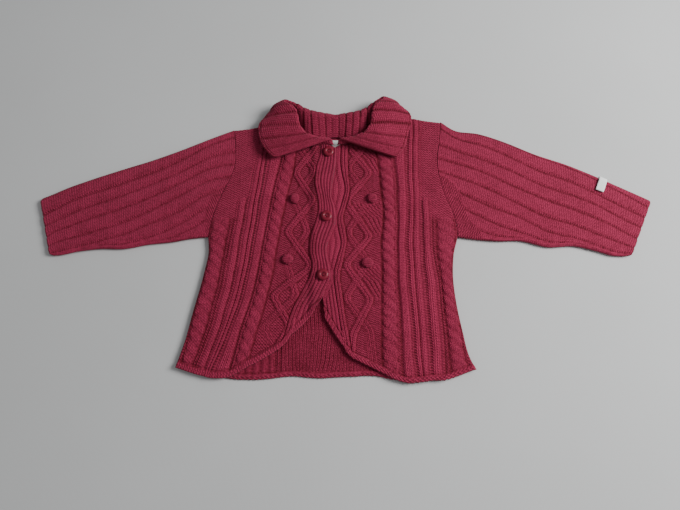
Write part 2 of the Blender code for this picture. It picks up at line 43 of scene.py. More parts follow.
SHIFT = (-0.5, 4.16)
TAU = math.tau

# Knitted walls, as in the frame
BACK_WALL = 2.6
FRONT_WALL = 2.4
LAYER_GAP = 0.3
SEAM_GAP = 0.35
SLEEVE_WALL = 2.2
SLEEVE_SLOT = 0.7
COLLAR_WALL = 2.2
COLLAR_TURN_THIN = 0.7
OVERLAP_EDGE = -34.0             # X where the upper front has risen onto the lower one
OVERLAP_RAMP = 9.0
INNER_STEP = 4                   # the hidden side of a wall keeps one point in this many
BACK_INNER_STEP = 2

# The stitches: width of a wale and height of a course
WALE = 3.4
COURSE = 2.6
STITCH_RISE = 0.55               # from the gap between two stitches up to the yarn
ROWS_PER_COURSE = 4
LEG_SLANT = 0.6                  # courses between the middle and the ends of a V
LEG_DEPTH = 0.42                 # how far the yarn dips from one V to the next
BAR_SWAY = 0.2                   # courses that a purl bar sways up and down
COUNT_JUMP = 0.6                 # a larger step between two points is a break in the stitches

# Raised knitting above the wall
CABLE_RISE = {"right": 2.3, "left": 2.1}
SIDE_CABLE_RISE = 1.8
CABLE_TURN = 12.4                # length of cable from one crossing to the next
RIB_RISE = 1.25
FINE_RISE = 1.0
STRAND_RISE = 1.5
STRAND_HALF = 3.9
FAN_PITCH = 4.4                  # slanting wales between a strand and the cable
BAND_RISE = 0.9
BAND_RIBS = 4
GUTTER_RISE = 0.6
SLEEVE_RISE = {"right": 1.3, "left": 0.9}
# painted shade at the bottom of a sleeve's grooves, lighter on the left sleeve
SLEEVE_GROOVE_SHADE = {"right": 0.1, "left": 0.35}
COLLAR_RISE = 1.1
EDGE_ROUND = 2.0                 # radius of a panel's rolled edge
FOOT_ROUND = 1.4
ARMHOLE_ROUND = 0.7
BORDER_WIDTH = 5.2               # the knobbly border along the foot of a panel
BEAD_PITCH = {"right": 5.0, "left": 3.0}
BEAD_RISE = 1.5
BEAD_KNOBS = {"right": 1.0, "left": 0.4}      # how far the beads stand apart
BEAD_REACH = 1.0                 # how far the beads push the outline out and in
LINE_STRAY = 0.8                 # how far a rib line wanders to either side
PUCKER = 0.5                     # depth of the slow dips in the cloth
YOKE_HEIGHT = 37.0
SIDE_CABLE_TOP = 13.0
GROUND_SHADE = 0.62              # how light the painted shade of the purl ground is, between groove and crest

FRONT_ROWS = 420
LEVELS = (130, 100, 60, 20, -20, -70, -120, -160)

# Lines that wave, from the foot up: Y, X
BAND_RIGHT = (
    (-134, -2), (-94, -8), (-74, -10.5), (-52, -14), (-34, -9.5), (-16, -5), (0, -7), (13, -9),
    (30, -5), (47, -1), (66, -3), (85, -5), (107, -5),
)
STRAND_RIGHT = (
    (-146, 8), (-120, 3), (-94, -1), (-74, -3.5), (-52, -6), (-34, -2), (-16, 2), (0, 0),
    (13, -2), (30, 2), (47, 5.5), (66, 4), (85, 3), (107, 5),
)
BAND_LEFT = (
    (-120, -60), (-106, -56), (-89, -49), (-70, -38), (-56, -33), (-42, -31.5), (-26, -34), (-10, -33),
    (8, -27), (24, -24.5), (40, -26), (56, -29), (75, -27), (92, -24), (106, -23),
)
STRAND_LEFT = (
    (-136, -73), (-117, -66), (-89, -57), (-70, -47), (-56, -41), (-42, -38), (-26, -41), (-10, -40),
    (8, -34), (24, -31.5), (40, -32.5), (56, -35.5), (75, -34), (92, -30), (106, -29),
)
OPENING_LEFT = (
    (-89, -32), (-83, -27), (-71, -22), (-60, -17), (-49, -17), (-35, -20), (-22, -21),
    (-7, -16), (8, -11), (25, -12), (39, -16), (54, -15), (79, -11), (101, -10),
)

# One row for each rib line of a front, from the opening out to the side: Y of its head, Y of
# its foot, then X at each of LEVELS or a table of Y and X
FRONT_RIGHT_LINES = (
    (84, -103, (-31, -31, -31, -31, -31, -27, -20, -13)),  # opening
    (107, -134, BAND_RIGHT),  # band
    (106, -146, STRAND_RIGHT),  # strand
    (116, -161, (30, 36, 41, 43, 41, 40, 39, 40)),  # lattice
    (140, -171, (55, 57, 60, 61, 59, 60, 61, 62)),  # cable
    (142, -171, (76, 74, 74, 73, 70, 72, 74, 77)),  # rib
    (139, -169, (92, 91, 90, 89, 89, 90, 92, 93)),  # fine rib
    (137, -168, (104, 103, 101, 100, 100, 105, 107, 108)),  # outer rib
)
FRONT_LEFT_LINES = (
    (101, -89, OPENING_LEFT),  # opening
    (106, -119, BAND_LEFT),  # band
    (104, -135, STRAND_LEFT),  # strand
    (108, -153, (-55, -57, -63, -71, -77, -85, -97, -106)),  # lattice
    (130, -164, (-73, -75, -82, -89, -95, -102, -116, -125)),  # cable
    (133, -165, (-90, -92, -97, -102, -107, -115, -129, -145)),  # rib
    (130, -163, (-102, -105, -111, -117, -121, -128, -140, -152)),  # fine rib
    (127, -160, (-117, -118, -123, -128, -133, -140, -151, -163)),  # outer rib
)
# Slope of the courses in the purl ground, at the top and at the foot of each front
COURSE_TILT = {"right": (0.42, 0.42), "left": (0.45, 0.75)}
SLOPE_LINE = 6                   # on the left they slope from this rib line to the side too
# Side seam and armhole: Y, X, from the hem up to the shoulder's tip
RIGHT_SIDE = (
    (-157, 140.2), (-147, 135.3), (-116, 128.2), (-85, 123.2), (-52, 121.2), (-28, 123.6),
    (-9, 128.2), (18, 125.0), (39.5, 116.8), (55, 112.8), (75, 109.5), (88, 109.3),
    (113, 113.2), (137, 115.5),
)
LEFT_SIDE = (
    (-154, -182.9), (-127, -175.1), (-96, -168.6), (-50, -158.8), (-28, -155.5), (-9, -156.5),
    (30.5, -148.2), (46, -142.4), (61.5, -135.8), (79, -130.9), (111, -131.6), (126, -133.5),
)
ARMHOLE_FOOT = -9.0
RIGHT_SIDE_ENDS = (135.5, -157)  # Y of the head and the foot of the side line
LEFT_SIDE_ENDS = (125, -154)

# Turning points of the two strands in the diamond column: Y, X, from the foot up.
# The last number fades a strand on its way to that point.
STRANDS = {
    "right": (
        ((-160, 4, 1.0), (-120, 8, 1.0), (-82, 28, 1.0), (-42, 0, 1.0), (-9, 28, 1.0),
         (34, 0, 1.0), (69, 29, 1.0), (104, 3, 1.0), (130, 20, 1.0)),
        ((-150, 30, 0.3), (-115, 26, 0.4), (-80, 0, 1.0), (-39, 26, 0.4), (-4, 2, 1.0),
         (38, 29, 0.4), (76, 2, 1.0), (108, 27, 0.6), (130, 27, 0.6)),
    ),
    "left": (
        ((-150, -84, 1.0), (-112, -61, 1.0), (-77, -81, 1.0), (-44, -38, 1.0), (-3, -67, 1.0),
         (35, -37, 1.0), (70, -59, 1.0), (104, -34, 1.0), (130, -40, 1.0)),
        ((-150, -66, 0.4), (-112, -90, 0.4), (-78, -55, 1.0), (-37, -67, 0.4), (-3, -43, 1.0),
         (36, -60, 0.4), (72, -36, 1.0), (104, -56, 0.6), (130, -56, 0.6)),
    ),
}

# Hem of the back, X then Y, and its neck edge with the shoulders, X then Y
BACK_HEM = (
    (-183, -154), (-148, -163), (-120, -168), (-76, -167), (-59, -165), (-32, -167),
    (-6, -166), (33, -165), (55, -169), (99, -168), (140, -157),
)
BACK_TOP = (
    (-133.5, 125), (-103, 130), (-75, 135.5), (-66, 136), (-58, 131), (-49, 121.5),
    (-36, 118.2), (-11.5, 117.5), (13, 118.4), (26, 122), (35, 132), (44, 141), (55, 143.5),
    (80, 141.5), (115.5, 136),
)
BACK_ROWS = 188
BACK_COLUMNS = 272
BACK_SPREAD = ((0.0, 0.15, 0.85, 1.0), (0.0, 0.2, 0.74, 1.0))     # share of columns, of width
BACK_RIB = 3.9
BACK_GROOVE = 0.7
BACK_RIBS_BELOW = -62.0
BACK_BROAD_RIB = 8.4             # left of a fold in the back's inside
BACK_FOLD_X = -71.0
OUTSIDE_RIB = 14.6               # on the back's outside, which is laid down

# Sleeve sections from the armhole to the cuff:
# X and Y of the upper fold, X and Y of the lower fold
SLEEVE_RIGHT = (
    (116, 137, 128, -9), (134, 125, 149, -12), (161, 121, 174, -14), (192, 110, 202, -14),
    (227, 94, 231, -21), (262, 81, 261, -20), (295, 66, 287, -26), (323, 52, 304, -31),
    (357, 35, 325, -32),
)
SLEEVE_LEFT = (
    (-133, 126, -156, -9), (-160, 115, -176, -11), (-192, 101, -198, -15),
    (-227, 87, -225, -18), (-259, 76, -252, -23), (-290, 65, -279, -23),
    (-321, 53, -304, -26), (-340, 44, -322, -30), (-356, 37, -336, -31),
)
# Where the grooves between a sleeve's ribs cross each section, as a share of its width
SLEEVE_GROOVES = (
    (0.07, 0.21, 0.33, 0.45, 0.57, 0.68, 0.80),
    (0.08, 0.20, 0.32, 0.45, 0.60, 0.76, 0.90),
    (0.12, 0.25, 0.38, 0.53, 0.70, 0.85, 0.96),
    (0.16, 0.31, 0.46, 0.62, 0.77, 0.93, 0.97),
    (0.18, 0.34, 0.49, 0.67, 0.83, 0.95, 0.98),
    (0.21, 0.38, 0.55, 0.74, 0.91, 0.96, 0.98),
    (0.24, 0.41, 0.59, 0.78, 0.94, 0.97, 0.985),
    (0.27, 0.44, 0.62, 0.80, 0.95, 0.97, 0.985),
    (0.32, 0.50, 0.69, 0.87, 0.96, 0.975, 0.988),
)
# The right sleeve has one rib more, which comes over its upper fold towards the cuff
UPPER_GROOVE = (0.01, 0.01, 0.012, 0.014, 0.018, 0.03, 0.05, 0.09, 0.14)
# Plain purl between the armhole and the first rib of a sleeve: Y, width
GUSSETS = {
    "right": ((-12, 27), (-5, 26), (10, 17), (25, 14), (53, 15), (62, 8), (69, 0), (140, 0)),
    "left": ((-12, 3), (6, 5), (16, 8), (38, 9), (50, 4), (60, 0), (130, 0)),
}
SLEEVE_RIB_SLOPE = {"right": 0.15, "left": 0.22}
RIB_SHARE = 0.78                 # of the way from groove to groove that is knit, before the purl
CUFF_SCALLOP = 1.2
CUFF_CORNER = 4.0
SLEEVE_ROUND = 2.6
SLEEVE_ROWS = 352
SLEEVE_TOP_COLUMNS = 124
SLEEVE_UNDER_COLUMNS = 40

# Half of the collar from its front end round to the middle of the back.
# Each row: rib count from the front end, turn in degrees and draw-in of the fall on the
# right, then (out, Y, height) at the neck seam, the roll line, the fall and the free edge
COLLAR_MIDDLE_X = -11.5
COLLAR_PIVOT_Y = 115.0
COLLAR_HALF = (
    (0.0, 1.5, 1.0, (2, 104.5, 8.9), (4, 108.5, 15.0), (41, 95, 14.0), (73, 85, 12.5)),
    (1.2, 2.0, 2.5, (21, 108, 8.9), (23.5, 110.5, 17.0), (56, 102, 16.0), (84.5, 98, 12.3)),
    (2.3, 2.5, 4.0, (40, 114, 8.8), (36, 116, 19.0), (64, 114, 17.2), (91, 114, 11.0)),
    (3.2, 3.0, 0.0, (52, 123, 8.6), (42.5, 127, 20.6), (67, 129, 17.5), (92, 129, 9.5)),
    (4.1, 3.8, -5.5, (60, 132, 8.0), (44.5, 141.5, 22.0), (68, 141, 17.5), (86, 138, 8.8)),
    (5.0, 4.5, -3.0, (66, 138, 6.8), (52, 150, 22.3), (73, 149, 18.0), (80, 147, 5.5)),
    (5.6, 4.5, -1.5, (68, 143, 6.0), (58.5, 153.5, 21.5), (73.5, 153.5, 15.5), (77, 151, 4.0)),
    (6.2, 4.0, -1.0, (63, 148, 5.2), (59, 157.5, 19.0), (64, 160, 11.0), (67, 154, 2.2)),
    (6.9, 2.0, 0.0, (52, 143, 4.5), (48, 152.5, 18.0), (50, 157.5, 9.5), (54, 147, 1.6)),
    (8.0, 0.5, 0.0, (38, 122, 4.3), (38, 145.5, 18.5), (41, 152.5, 9.0), (41, 136, 1.6)),
    (12.5, 0.0, 0.0, (0, 116, 4.1), (0, 136, 16.5), (0, 142, 8.0), (0, 128, 1.6)),
)
COLLAR_PROFILE = (0.0, 0.45, 0.75, 1.0, 1.25, 1.6, 2.0, 2.5, 3.0)
COLLAR_CORNER_RIB = 6.0
# How deep each groove between the collar's ribs is, from the left front end to the right one
COLLAR_DEPTHS = (
    0.0, 0.5, 0.7, 0.6, 0.8, 0.5, 0.6, 0.9, 0.7, 0.8, 0.5, 0.7, 0.4, 0.6, 0.8, 0.7, 0.9, 1.0,
    0.9, 0.6, 0.8, 0.9, 1.0, 0.7, 0.5, 0.0,
)
COLLAR_ROWS_PER_RIB = 16
COLLAR_COLUMNS = 88
COLLAR_BEAD_PITCH = 3.4
COLLAR_TIP_ROUND = 4.5           # radius of a wing's lower tip
LEFT_WING_LIFT = 0.6
RIGHT_WING_DROOP = 2.0           # the front of the right wing hangs towards the cloth

BUTTON_SEAT = 1.0                # relief of the band under a button
BUTTON_RADIUS = 6.4
BUTTON_HEIGHT = 3.0
BUTTON_HOLE_RADIUS = 0.9
BUTTON_HOLE_SPACING = 2.6
BUTTON_PROFILE = (               # shares of the radius and of the height, from below
    (0.0, 0.0), (0.7, 0.0), (0.86, 0.06), (0.96, 0.2), (1.0, 0.4), (0.985, 0.56),
    (0.93, 0.7), (0.84, 0.83), (0.74, 0.93), (0.64, 0.99), (0.56, 1.0), (0.5, 0.97),
    (0.45, 0.88), (0.4, 0.8), (0.34, 0.77), (0.0, 0.75),
)
THREAD_RADIUS = 0.42
BOBBLE_RISE = 5.2
BOBBLE_SEAT = 0.9                # relief of the front under a bobble
BOBBLE_STITCH = (2.6, 2.2)       # width of its wales and height of its courses
BUTTONS = (("button_top", -19.5, 95), ("button_middle", -21.5, 14.5), ("button_bottom", -25, -54.5))
# Name, X, Y, half width and half height of each bobble, first the two on the left front
BOBBLES = (
    ("bobble_left_upper", -58.5, 37, 5.6, 6.4), ("bobble_left_lower", -65, -36, 6.8, 5.9),
    ("bobble_right_upper", 31.5, 37.5, 5.8, 6.2), ("bobble_right_lower", 25, -40, 6.9, 6.0),
)
NECK_LABEL = (-16.0, -3.0, 103.5, 112.5, 0.5)      # X from, X to, Y from, Y to, thickness
# Corner on the fold, width, length, slope in degrees and thickness of the sleeve's label
SLEEVE_LABEL = (299.7, 64.7, 9.3, 18.0, -24.0, 0.6)
FLOOR_SIZE = 3.2                 # metres, as the next two
FLOOR_LEVEL_HALF = (0.42, 0.26)  # the part under the garment that has no ripples, X and Y
FLOOR_RIPPLE = 0.0025
FLOOR_STEPS = 160


def smooth(keys, values, at):
    """Catmull-Rom curve through values at rising keys, read at each place in at."""
    keys = np.asarray(keys, float)
    values = np.asarray(values, float)
    at = np.clip(np.asarray(at, float), keys[0], keys[-1])
    slopes = np.gradient(values, keys, axis=0)
    i = np.clip(np.searchsorted(keys, at, side="right") - 1, 0, len(keys) - 2)
    width = keys[i + 1] - keys[i]
    t = (at - keys[i]) / width
    if values.ndim > 1:
        t = t[..., None]
        width = width[..., None]
    start = (2 * t**3 - 3 * t**2 + 1) * values[i] + (t**3 - 2 * t**2 + t) * width * slopes[i]
    end = (3 * t**2 - 2 * t**3) * values[i + 1] + (t**3 - t**2) * width * slopes[i + 1]
    return start + end


def table_curve(rows, at):
    """The second column of a two-column table, read at values of the first."""
    rows = sorted(rows)
    return smooth([row[0] for row in rows], [row[1] for row in rows], at)


def ease(t):
    """0 up to t = 0, 1 from t = 1, and a smooth rise between them."""
    t = np.clip(t, 0.0, 1.0)
    return t * t * (3 - 2 * t)


def ridge(at, start, end, slope):
    """1 between start and end, falling to 0 over the slope at both sides."""
    return ease((at - start) / slope) * ease((end - at) / slope)


def dome(off, half):
    """Height of a round strand: 1 over its middle and 0 at half its width."""
    return np.sqrt(np.clip(1 - (off / half) ** 2, 0.0, 1.0))


def off_middle(count):
    """0 in the middle of each unit of a count, and 1 where one unit meets the next."""
    return 2 * np.abs(count - np.floor(count) - 0.5)


def edge_drop(distance, radius):
    """How far a rolled edge is below the surface, at a distance in from it."""
    near = np.clip(distance, 0.0, radius)
    return radius - np.sqrt(radius**2 - (radius - near) ** 2)


def waver(x, y, reach, seed):
    """An uneven wave over the garment, from about -1 to 1, with its swells reach apart."""
    total = 0.0
    for i in range(4):
        angle = 2.4 * seed + 1.9 * i
        along = x * math.cos(angle) + y * math.sin(angle)
        total = total + np.sin(TAU * along / (reach * (1 + 0.31 * i)) + 5.1 * seed + 1.7 * i)
    return total / 3.0


def joined(*grids):
    """One grid of points, or of rows of values, from a grid of each."""
    return np.stack(np.broadcast_arrays(*grids), axis=-1)


def unit(vectors):
    return vectors / np.linalg.norm(vectors, axis=-1, keepdims=True)


def distance_along(points, axis):
    """Distance along the lines of a grid of points, from the first one."""
    steps = np.linalg.norm(np.diff(points, axis=axis), axis=2)
    start = np.zeros_like(np.take(steps, [0], axis=axis))
    return np.concatenate((start, np.cumsum(steps, axis=axis)), axis=axis)


def stitch_relief(wale, course, purl):
    """Yarn height from 0 to 1: V stitches where purl is 0, crosswise bars where it is 1."""
    across = off_middle(wale)
    leg = 1 - (2 * across - 1) ** 2
    knit = leg * (1 - LEG_DEPTH + LEG_DEPTH * np.cos(TAU * (course - LEG_SLANT * across)))
    bar = 0.5 + 0.5 * np.cos(TAU * (course + BAR_SWAY * np.cos(TAU * wale)))
    return knit * (1 - purl) + bar * purl


def rope(across, turn):
    """Two strands twisted round each other: height from 0 to 1 and distance from the middle
    of the strand on top. across runs from -1 to 1, and turn counts the crossings."""
    strands = []
    for strand in (0, 1):
        angle = math.pi * (turn + strand)
        off = across - 0.42 * np.sin(angle)
        strands.append((0.22 * np.cos(angle) + 0.78 * dome(off, 0.72), off))
    (first, first_off), (second, second_off) = strands
    height = np.clip(np.maximum(first, second), 0.0, 1.0)
    return height, np.where(first > second, first_off, second_off)


class Knit:
    """Relief and stitch coordinates of a piece of knitting, on one grid of points.

    rise is above the wall, without the stitches. wale and course count the stitches across
    and along. shade is painted shade, 0 in a groove and 1 on a crest; purl is 0 for V stitches.
    """

    def __init__(self, shape):
        self.rise, self.wale, self.course, self.shade = np.zeros((4, *shape))
        self.purl = np.ones(shape)

    def height(self):
        return self.rise + STITCH_RISE * (stitch_relief(self.wale, self.course, self.purl) - 0.5)

    def stitch(self, where, wale, purl):
        """Set the count of wales and the kind of stitch where a mask is true."""
        self.wale = np.where(where, wale, self.wale)
        self.purl = np.where(where, purl, self.purl)

    def raise_to(self, rise, shade):
        """Lift the relief and the shade to these where they are lower."""
        self.rise = np.maximum(self.rise, rise)
        self.shade = np.maximum(self.shade, shade)

    def blend(self, share, rise, shade):
        """Keep a share of the relief and the shade, and take the rest from these."""
        self.rise = self.rise * share + rise * (1 - share)
        self.shade = self.shade * share + shade * (1 - share)

    def unsettle(self, x, y, seed):
        """Make the knitting uneven: its relief and shade vary, and the cloth puckers."""
        self.rise *= 1 + 0.14 * waver(x, y, 26.0, seed)
        self.rise -= PUCKER * (0.6 + 0.4 * waver(x, y, 40.0, seed + 1))
        self.shade *= 1 + 0.1 * waver(x, y, 15.0, seed + 2)

    def attributes(self):
        """A row for each point: wale, course, purl, shade and calm.

        Calm is 0 beside a jump in the count of stitches, where none can be drawn, or else 1.
        """
        calm = np.ones(self.wale.shape)
        for count in (self.wale, self.course):
            for near, turned in ((calm, count), (calm.T, count.T)):
                jump = np.abs(np.diff(turned, axis=1)) > COUNT_JUMP
                near[:, 1:][jump] = 0.0
                near[:, :-1][jump] = 0.0
        return joined(self.wale, self.course, self.purl, self.shade, calm)


# Where the points of a front's section lie: at runs from 0 to 1 across its width
Spot = namedtuple("Spot", "at width x y hand")


def ladder(knit, at, start, end, rise=GUTTER_RISE, shade=GROUND_SHADE):
    """A gutter of purl bars beside a rib or a cable."""
    gutter = ridge(at, start, end, 0.06)
    knit.raise_to(rise * gutter, shade * gutter)


def ribs(knit, at, spans, slope, deep, gutter):
    """Knit ribs between deep grooves, and the start of the purl gutter beside them.

    spans has a row for each rib: start, end, wales and rise.
    """
    for start, end, wales, rise in spans:
        crest = ridge(at, start, end, slope)
        # painted shade: the crests are light and the purl ground beside them darker
        knit.raise_to(rise * crest, GROUND_SHADE + (1 - GROUND_SHADE) * crest)
        knit.stitch((at >= start) & (at <= end), (at - start) / (end - start) * wales, 0.0)
    # painted shade at the bottom of each deep groove, which also sinks
    for groove in deep:
        dip = 1 - ease(np.abs(at - groove) / (0.7 * slope))
        knit.rise -= 0.4 * dip
        knit.shade *= 1 - 0.75 * dip
    ladder(knit, at, gutter, 0.97)


def cable(knit, spot, start, end, rise):
    """A rope cable between two fractions of a section, twisted the other way on the left."""
    half = (end - start) / 2
    across = (spot.at - start - half) / half
    height, off = rope(across if spot.hand == "right" else -across, -spot.y / CABLE_TURN)
    inside = np.abs(across) < 1.02
    body = ridge(across, -1.08, 1.08, 0.3)
    # painted shade: the rope is darker where its strands dip and at its sides
    knit.raise_to(rise * height * body, inside * (0.4 + 0.6 * height) * body)
    knit.stitch(inside, off * half * spot.width / WALE, 0.0)


def yoke(knit, spot, height):
    """Plain purl above the height where a rib or a cable begins."""
    low = ease((height - spot.y) / 10.0 + 0.5)
    knit.blend(low, 0.45, 0.78)
    knit.stitch(low < 0.5, spot.x / WALE, 1.0)


def band_section(knit, spot):
    """Knit ribs side by side, with narrow valleys between them."""
    rib = spot.at * BAND_RIBS
    valley = off_middle(rib)
    knit.wale = 2 * rib
    knit.purl[:] = 0.0
    knit.rise = 0.2 + BAND_RISE * (1 - valley**2)
    # painted shade in the valleys, and painted light that makes the band lighter than the rest of the
    # front
    knit.shade = 0.7 + 0.5 * (1 - valley**3)


def strand_section(knit, spot):
    """One strand with a cleft along its middle."""
    crest = ridge(spot.at, 0.0, 1.0, 0.22)
    cleft = 1 - ease(np.abs(spot.at - 0.5) / 0.2)
    knit.wale = spot.at * 2
    knit.purl[:] = 0.0
    knit.rise = STRAND_RISE * crest * (1 - 0.45 * cleft)
    # painted shade at the strand's sides and in its cleft
    knit.shade = 0.25 + 0.75 * crest * (1 - 0.55 * cleft)


def lattice_section(knit, spot):
    """Two strands that zigzag over a purl ground and cross each other."""
    at, _, x, y, hand = spot
    knit.wale = x / WALE
    # ground is the painted shade of the purl ground: painted shadow beside each strand, and stripes
    # along the fan's wales
    ground = GROUND_SHADE + 0 * x
    rise = 0.2 + 0 * x
    top = 0 * x
    for number, points in enumerate(STRANDS[hand]):
        turns, places, strengths = np.array(points, float).T
        halfway = (turns[1:] + turns[:-1]) / 2
        middle = np.mean([np.interp(y + off, turns, places) for off in (-4, -2, 0, 2, 4)], axis=0)
        slope = np.interp(y, halfway, np.diff(places) / np.diff(turns))
        strength = np.interp(y, turns, strengths)
        away = (x - middle) / np.sqrt(1 + slope**2)
        cleft = 1 - ease(np.abs(away) / 1.4)
        body = dome(away, STRAND_HALF + 0.5) * strength * (1 - 0.66 * cleft)
        inside = (body > top) & (np.abs(away) < STRAND_HALF + 0.3) & (strength > 0.3)
        top = np.maximum(top, body)
        knit.stitch(inside, away / STRAND_HALF, 0.0)
        shadow = ridge(np.abs(away), STRAND_HALF - 1.0, STRAND_HALF + 2.4, 1.4) * strength
        ground -= 0.5 * shadow * (1 - inside)
        if hand == "right" and number == 0:
            outward = np.interp(y, halfway, np.sign(places[:-1] - places[1:]))
            beside = away - STRAND_HALF
            fan = ease((beside - 1.0) / 2.0) * ease((outward + 0.2) / 0.4)
            lines = 0.5 + 0.5 * np.cos(TAU * beside / FAN_PITCH)
            rise += fan * lines
            ground += fan * (0.65 * lines - 0.3)
            knit.stitch(fan > 0.5, beside / FAN_PITCH + 0.5, 0.0)
    # painted shade: raised strands are lighter, and the section darkens and sinks towards its sides
    border = ease(at / 0.05) * ease((1 - at) / 0.05)
    knit.rise = np.maximum(rise, STRAND_RISE * top) * border
    knit.shade = np.maximum(np.clip(ground, 0, 1), top) * (0.1 + 0.9 * border)


def cable_section(knit, spot):
    knit.wale = spot.at * spot.width / WALE
    cable(knit, spot, 0.05, 0.83, CABLE_RISE[spot.hand])
    ladder(knit, spot.at, 0.78, 0.96)


def rib_section(knit, spot):
    ribs(knit, spot.at, ((0.06, 0.78, 3, RIB_RISE),), 0.12, (0.0, 1.0), 0.74)


def fine_rib_section(knit, spot):
    spans = ((0.06, 0.37, 1, FINE_RISE), (0.39, 0.78, 2, FINE_RISE))
    ribs(knit, spot.at, spans, 0.1, (0.0, 0.38, 1.0), 0.74)


def outer_rib_section(knit, spot):
    ribs(knit, spot.at, ((0.08, 0.72, 2, RIB_RISE),), 0.14, (0.0, 1.0), 0.68)
    yoke(knit, spot, YOKE_HEIGHT)


def side_cable_section(knit, spot):
    end = 0.93 - 0.17 * ease((-100 - spot.y) / 60)
    knit.wale = spot.x / WALE
    cable(knit, spot, 0.18, end, SIDE_CABLE_RISE)
    # painted shade in the gutters beside the side cable
    ladder(knit, spot.at, 0.0, 0.16, 0.4, 0.5)
    ladder(knit, spot.at, end, 1.5, 0.4, 0.5)
    yoke(knit, spot, SIDE_CABLE_TOP)


# Sections of a front between two rib lines: the columns across each and how it is knitted
SECTIONS = (
    (36, band_section), (14, strand_section), (44, lattice_section), (28, cable_section),
    (18, rib_section), (20, fine_rib_section), (16, outer_rib_section), (28, side_cable_section),
)


def front_grid(lines, side, side_ends, hand):
    """X, Y and knitting of a front, one section after another from the opening to the side."""
    t = np.linspace(0.0, 1.0, FRONT_ROWS + 1)[:, None]
    heads, feet, tables = zip(*lines)
    heads += side_ends[:1]
    feet += side_ends[1:]
    tilt_top, tilt_foot = COURSE_TILT[hand]

    def line_x(index, y):
        if index == len(lines):
            return table_curve(side, y)
        places = tables[index]
        line = table_curve(places if np.ndim(places) == 2 else zip(LEVELS, places), y)
        if index == 0:
            return line
        return line + LINE_STRAY * waver(19.0 * index, y, 36.0, len(hand) + index)

    grids = []
    knits = []
    for index, (columns, knit_section) in enumerate(SECTIONS):
        at = np.linspace(0.0, 1.0, columns + 1)[None, :]
        if index < len(SECTIONS) - 1:
            at = at[:, :-1]
        head = smooth(np.arange(len(heads)), heads, index + at)
        foot = smooth(np.arange(len(feet)), feet, index + at)
        y = foot + (head - foot) * t
        inner = line_x(index, y)
        outer = line_x(index + 1, y)
        x = inner + (outer - inner) * at
        knit = Knit(x.shape)
        knit_section(knit, Spot(at + 0 * y, np.abs(outer - inner), x, y, hand))
        if knit_section in (band_section, strand_section):
            knit.course = distance_along(joined(x, y), 0) / COURSE
        elif knit_section is lattice_section or (hand == "left" and index >= SLOPE_LINE):
            tilt = tilt_top + (tilt_foot - tilt_top) * ease(-y / 120.0)
            start = line_x(min(index, SLOPE_LINE), y)
            knit.course = (y + tilt * (x - start)) / COURSE
        else:
            knit.course = t * FRONT_ROWS / ROWS_PER_COURSE + 0 * y
        grids.append((x, y))
        knits.append(knit)
    x, y = np.concatenate(grids, axis=2)
    whole = Knit((1, 1))
    for field in vars(whole):
        setattr(whole, field, np.concatenate([getattr(knit, field) for knit in knits], axis=1))
    whole.unsettle(x, y, len(hand))
    return x, y, whole


def finish_edges(knit, x, y, reach, hand):
    """Roll a panel's edges and bead its foot, which grows by reach.

    Returns the new X and Y and how far the edges drop.
    """
    points = joined(x, y)
    along = distance_along(points, 0)
    across = distance_along(points, 1)
    border_way = unit(np.gradient(points[0], axis=0))
    column_way = unit(points[0] - points[6])
    slant = np.abs(border_way[:, 0] * column_way[:, 1] - border_way[:, 1] * column_way[:, 0])
    away = along * slant
    side_round = ARMHOLE_ROUND + (EDGE_ROUND - ARMHOLE_ROUND) * ease((ARMHOLE_FOOT - y) / 12.0)
    drop = np.maximum.reduce((
        edge_drop(away, FOOT_ROUND), edge_drop(along[-1] - along, EDGE_ROUND),
        edge_drop(across, EDGE_ROUND), edge_drop(across[:, -1:] - across, side_round),
    ))
    run = across[:1] + 1.2 * waver(across[:1], 0.0, 30.0, 5)
    bead = np.abs(np.sin(math.pi * run / BEAD_PITCH[hand]))
    bead = 0.7 + (bead * (0.8 + 0.3 * waver(across[:1], 0.0, 17.0, 8)) - 0.7) * BEAD_KNOBS[hand]
    border = 1 - ease((away - BORDER_WIDTH) / 1.2)
    seam_groove = ridge(away, BORDER_WIDTH - 0.4, BORDER_WIDTH + 2.6, 1.2)
    # painted shade: the beads are lighter on top, and the groove above the border is darker
    knit.blend(1 - border, BEAD_RISE * (0.35 + 0.65 * bead), 0.62 + 0.38 * bead)
    knit.rise -= 0.4 * seam_groove
    knit.shade *= 1 - 0.55 * seam_groove
    knit.purl = knit.purl * (1 - border) + (0.4 + 0.6 * BEAD_KNOBS[hand]) * border
    knit.wale = np.where(border > 0.5, away / WALE, knit.wale)
    knit.course = np.where(border > 0.5, run / BEAD_PITCH[hand], knit.course)
    push = (reach + BEAD_REACH * (bead - 0.5)) * border
    return x + column_way[:, 0] * push, y + column_way[:, 1] * push, drop


def quads(at):
    """Corners of the faces between the points of a grid of point numbers."""
    corners = (at[:-1, :-1], at[:-1, 1:], at[1:, 1:], at[1:, :-1])
    return np.stack(corners, axis=-1).reshape(-1, 4).tolist()


def link(name, data):
    """A new object in the scene."""
    made = bpy.data.objects.new(name, data)
    bpy.context.scene.collection.objects.link(made)
    return made


def place(name, mesh, kind):
    """Face a closed mesh outwards, give it its material and let it ride on the cardigan."""
    bm = bmesh.new()
    bm.from_mesh(mesh)
    bmesh.ops.recalc_face_normals(bm, faces=bm.faces)
    bm.to_mesh(mesh)
    bm.free()
    mesh.shade_smooth()
    mesh.materials.append(MATERIALS[kind])
    made = link(name, mesh)
    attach(made, "root")
    return made


def add_attributes(mesh, rows):
    """Write each point's wale, course, purl, shade and calm on the mesh for the material."""
    rows = np.ascontiguousarray(rows, np.float32)
    vector = mesh.attributes.new("stitch", "FLOAT_VECTOR", "POINT")
    vector.data.foreach_set("vector", rows[:, :3].ravel())
    for column, name in ((3, "shade"), (4, "calm")):
        value = mesh.attributes.new(name, "FLOAT", "POINT")
        value.data.foreach_set("value", np.ascontiguousarray(rows[:, column]))


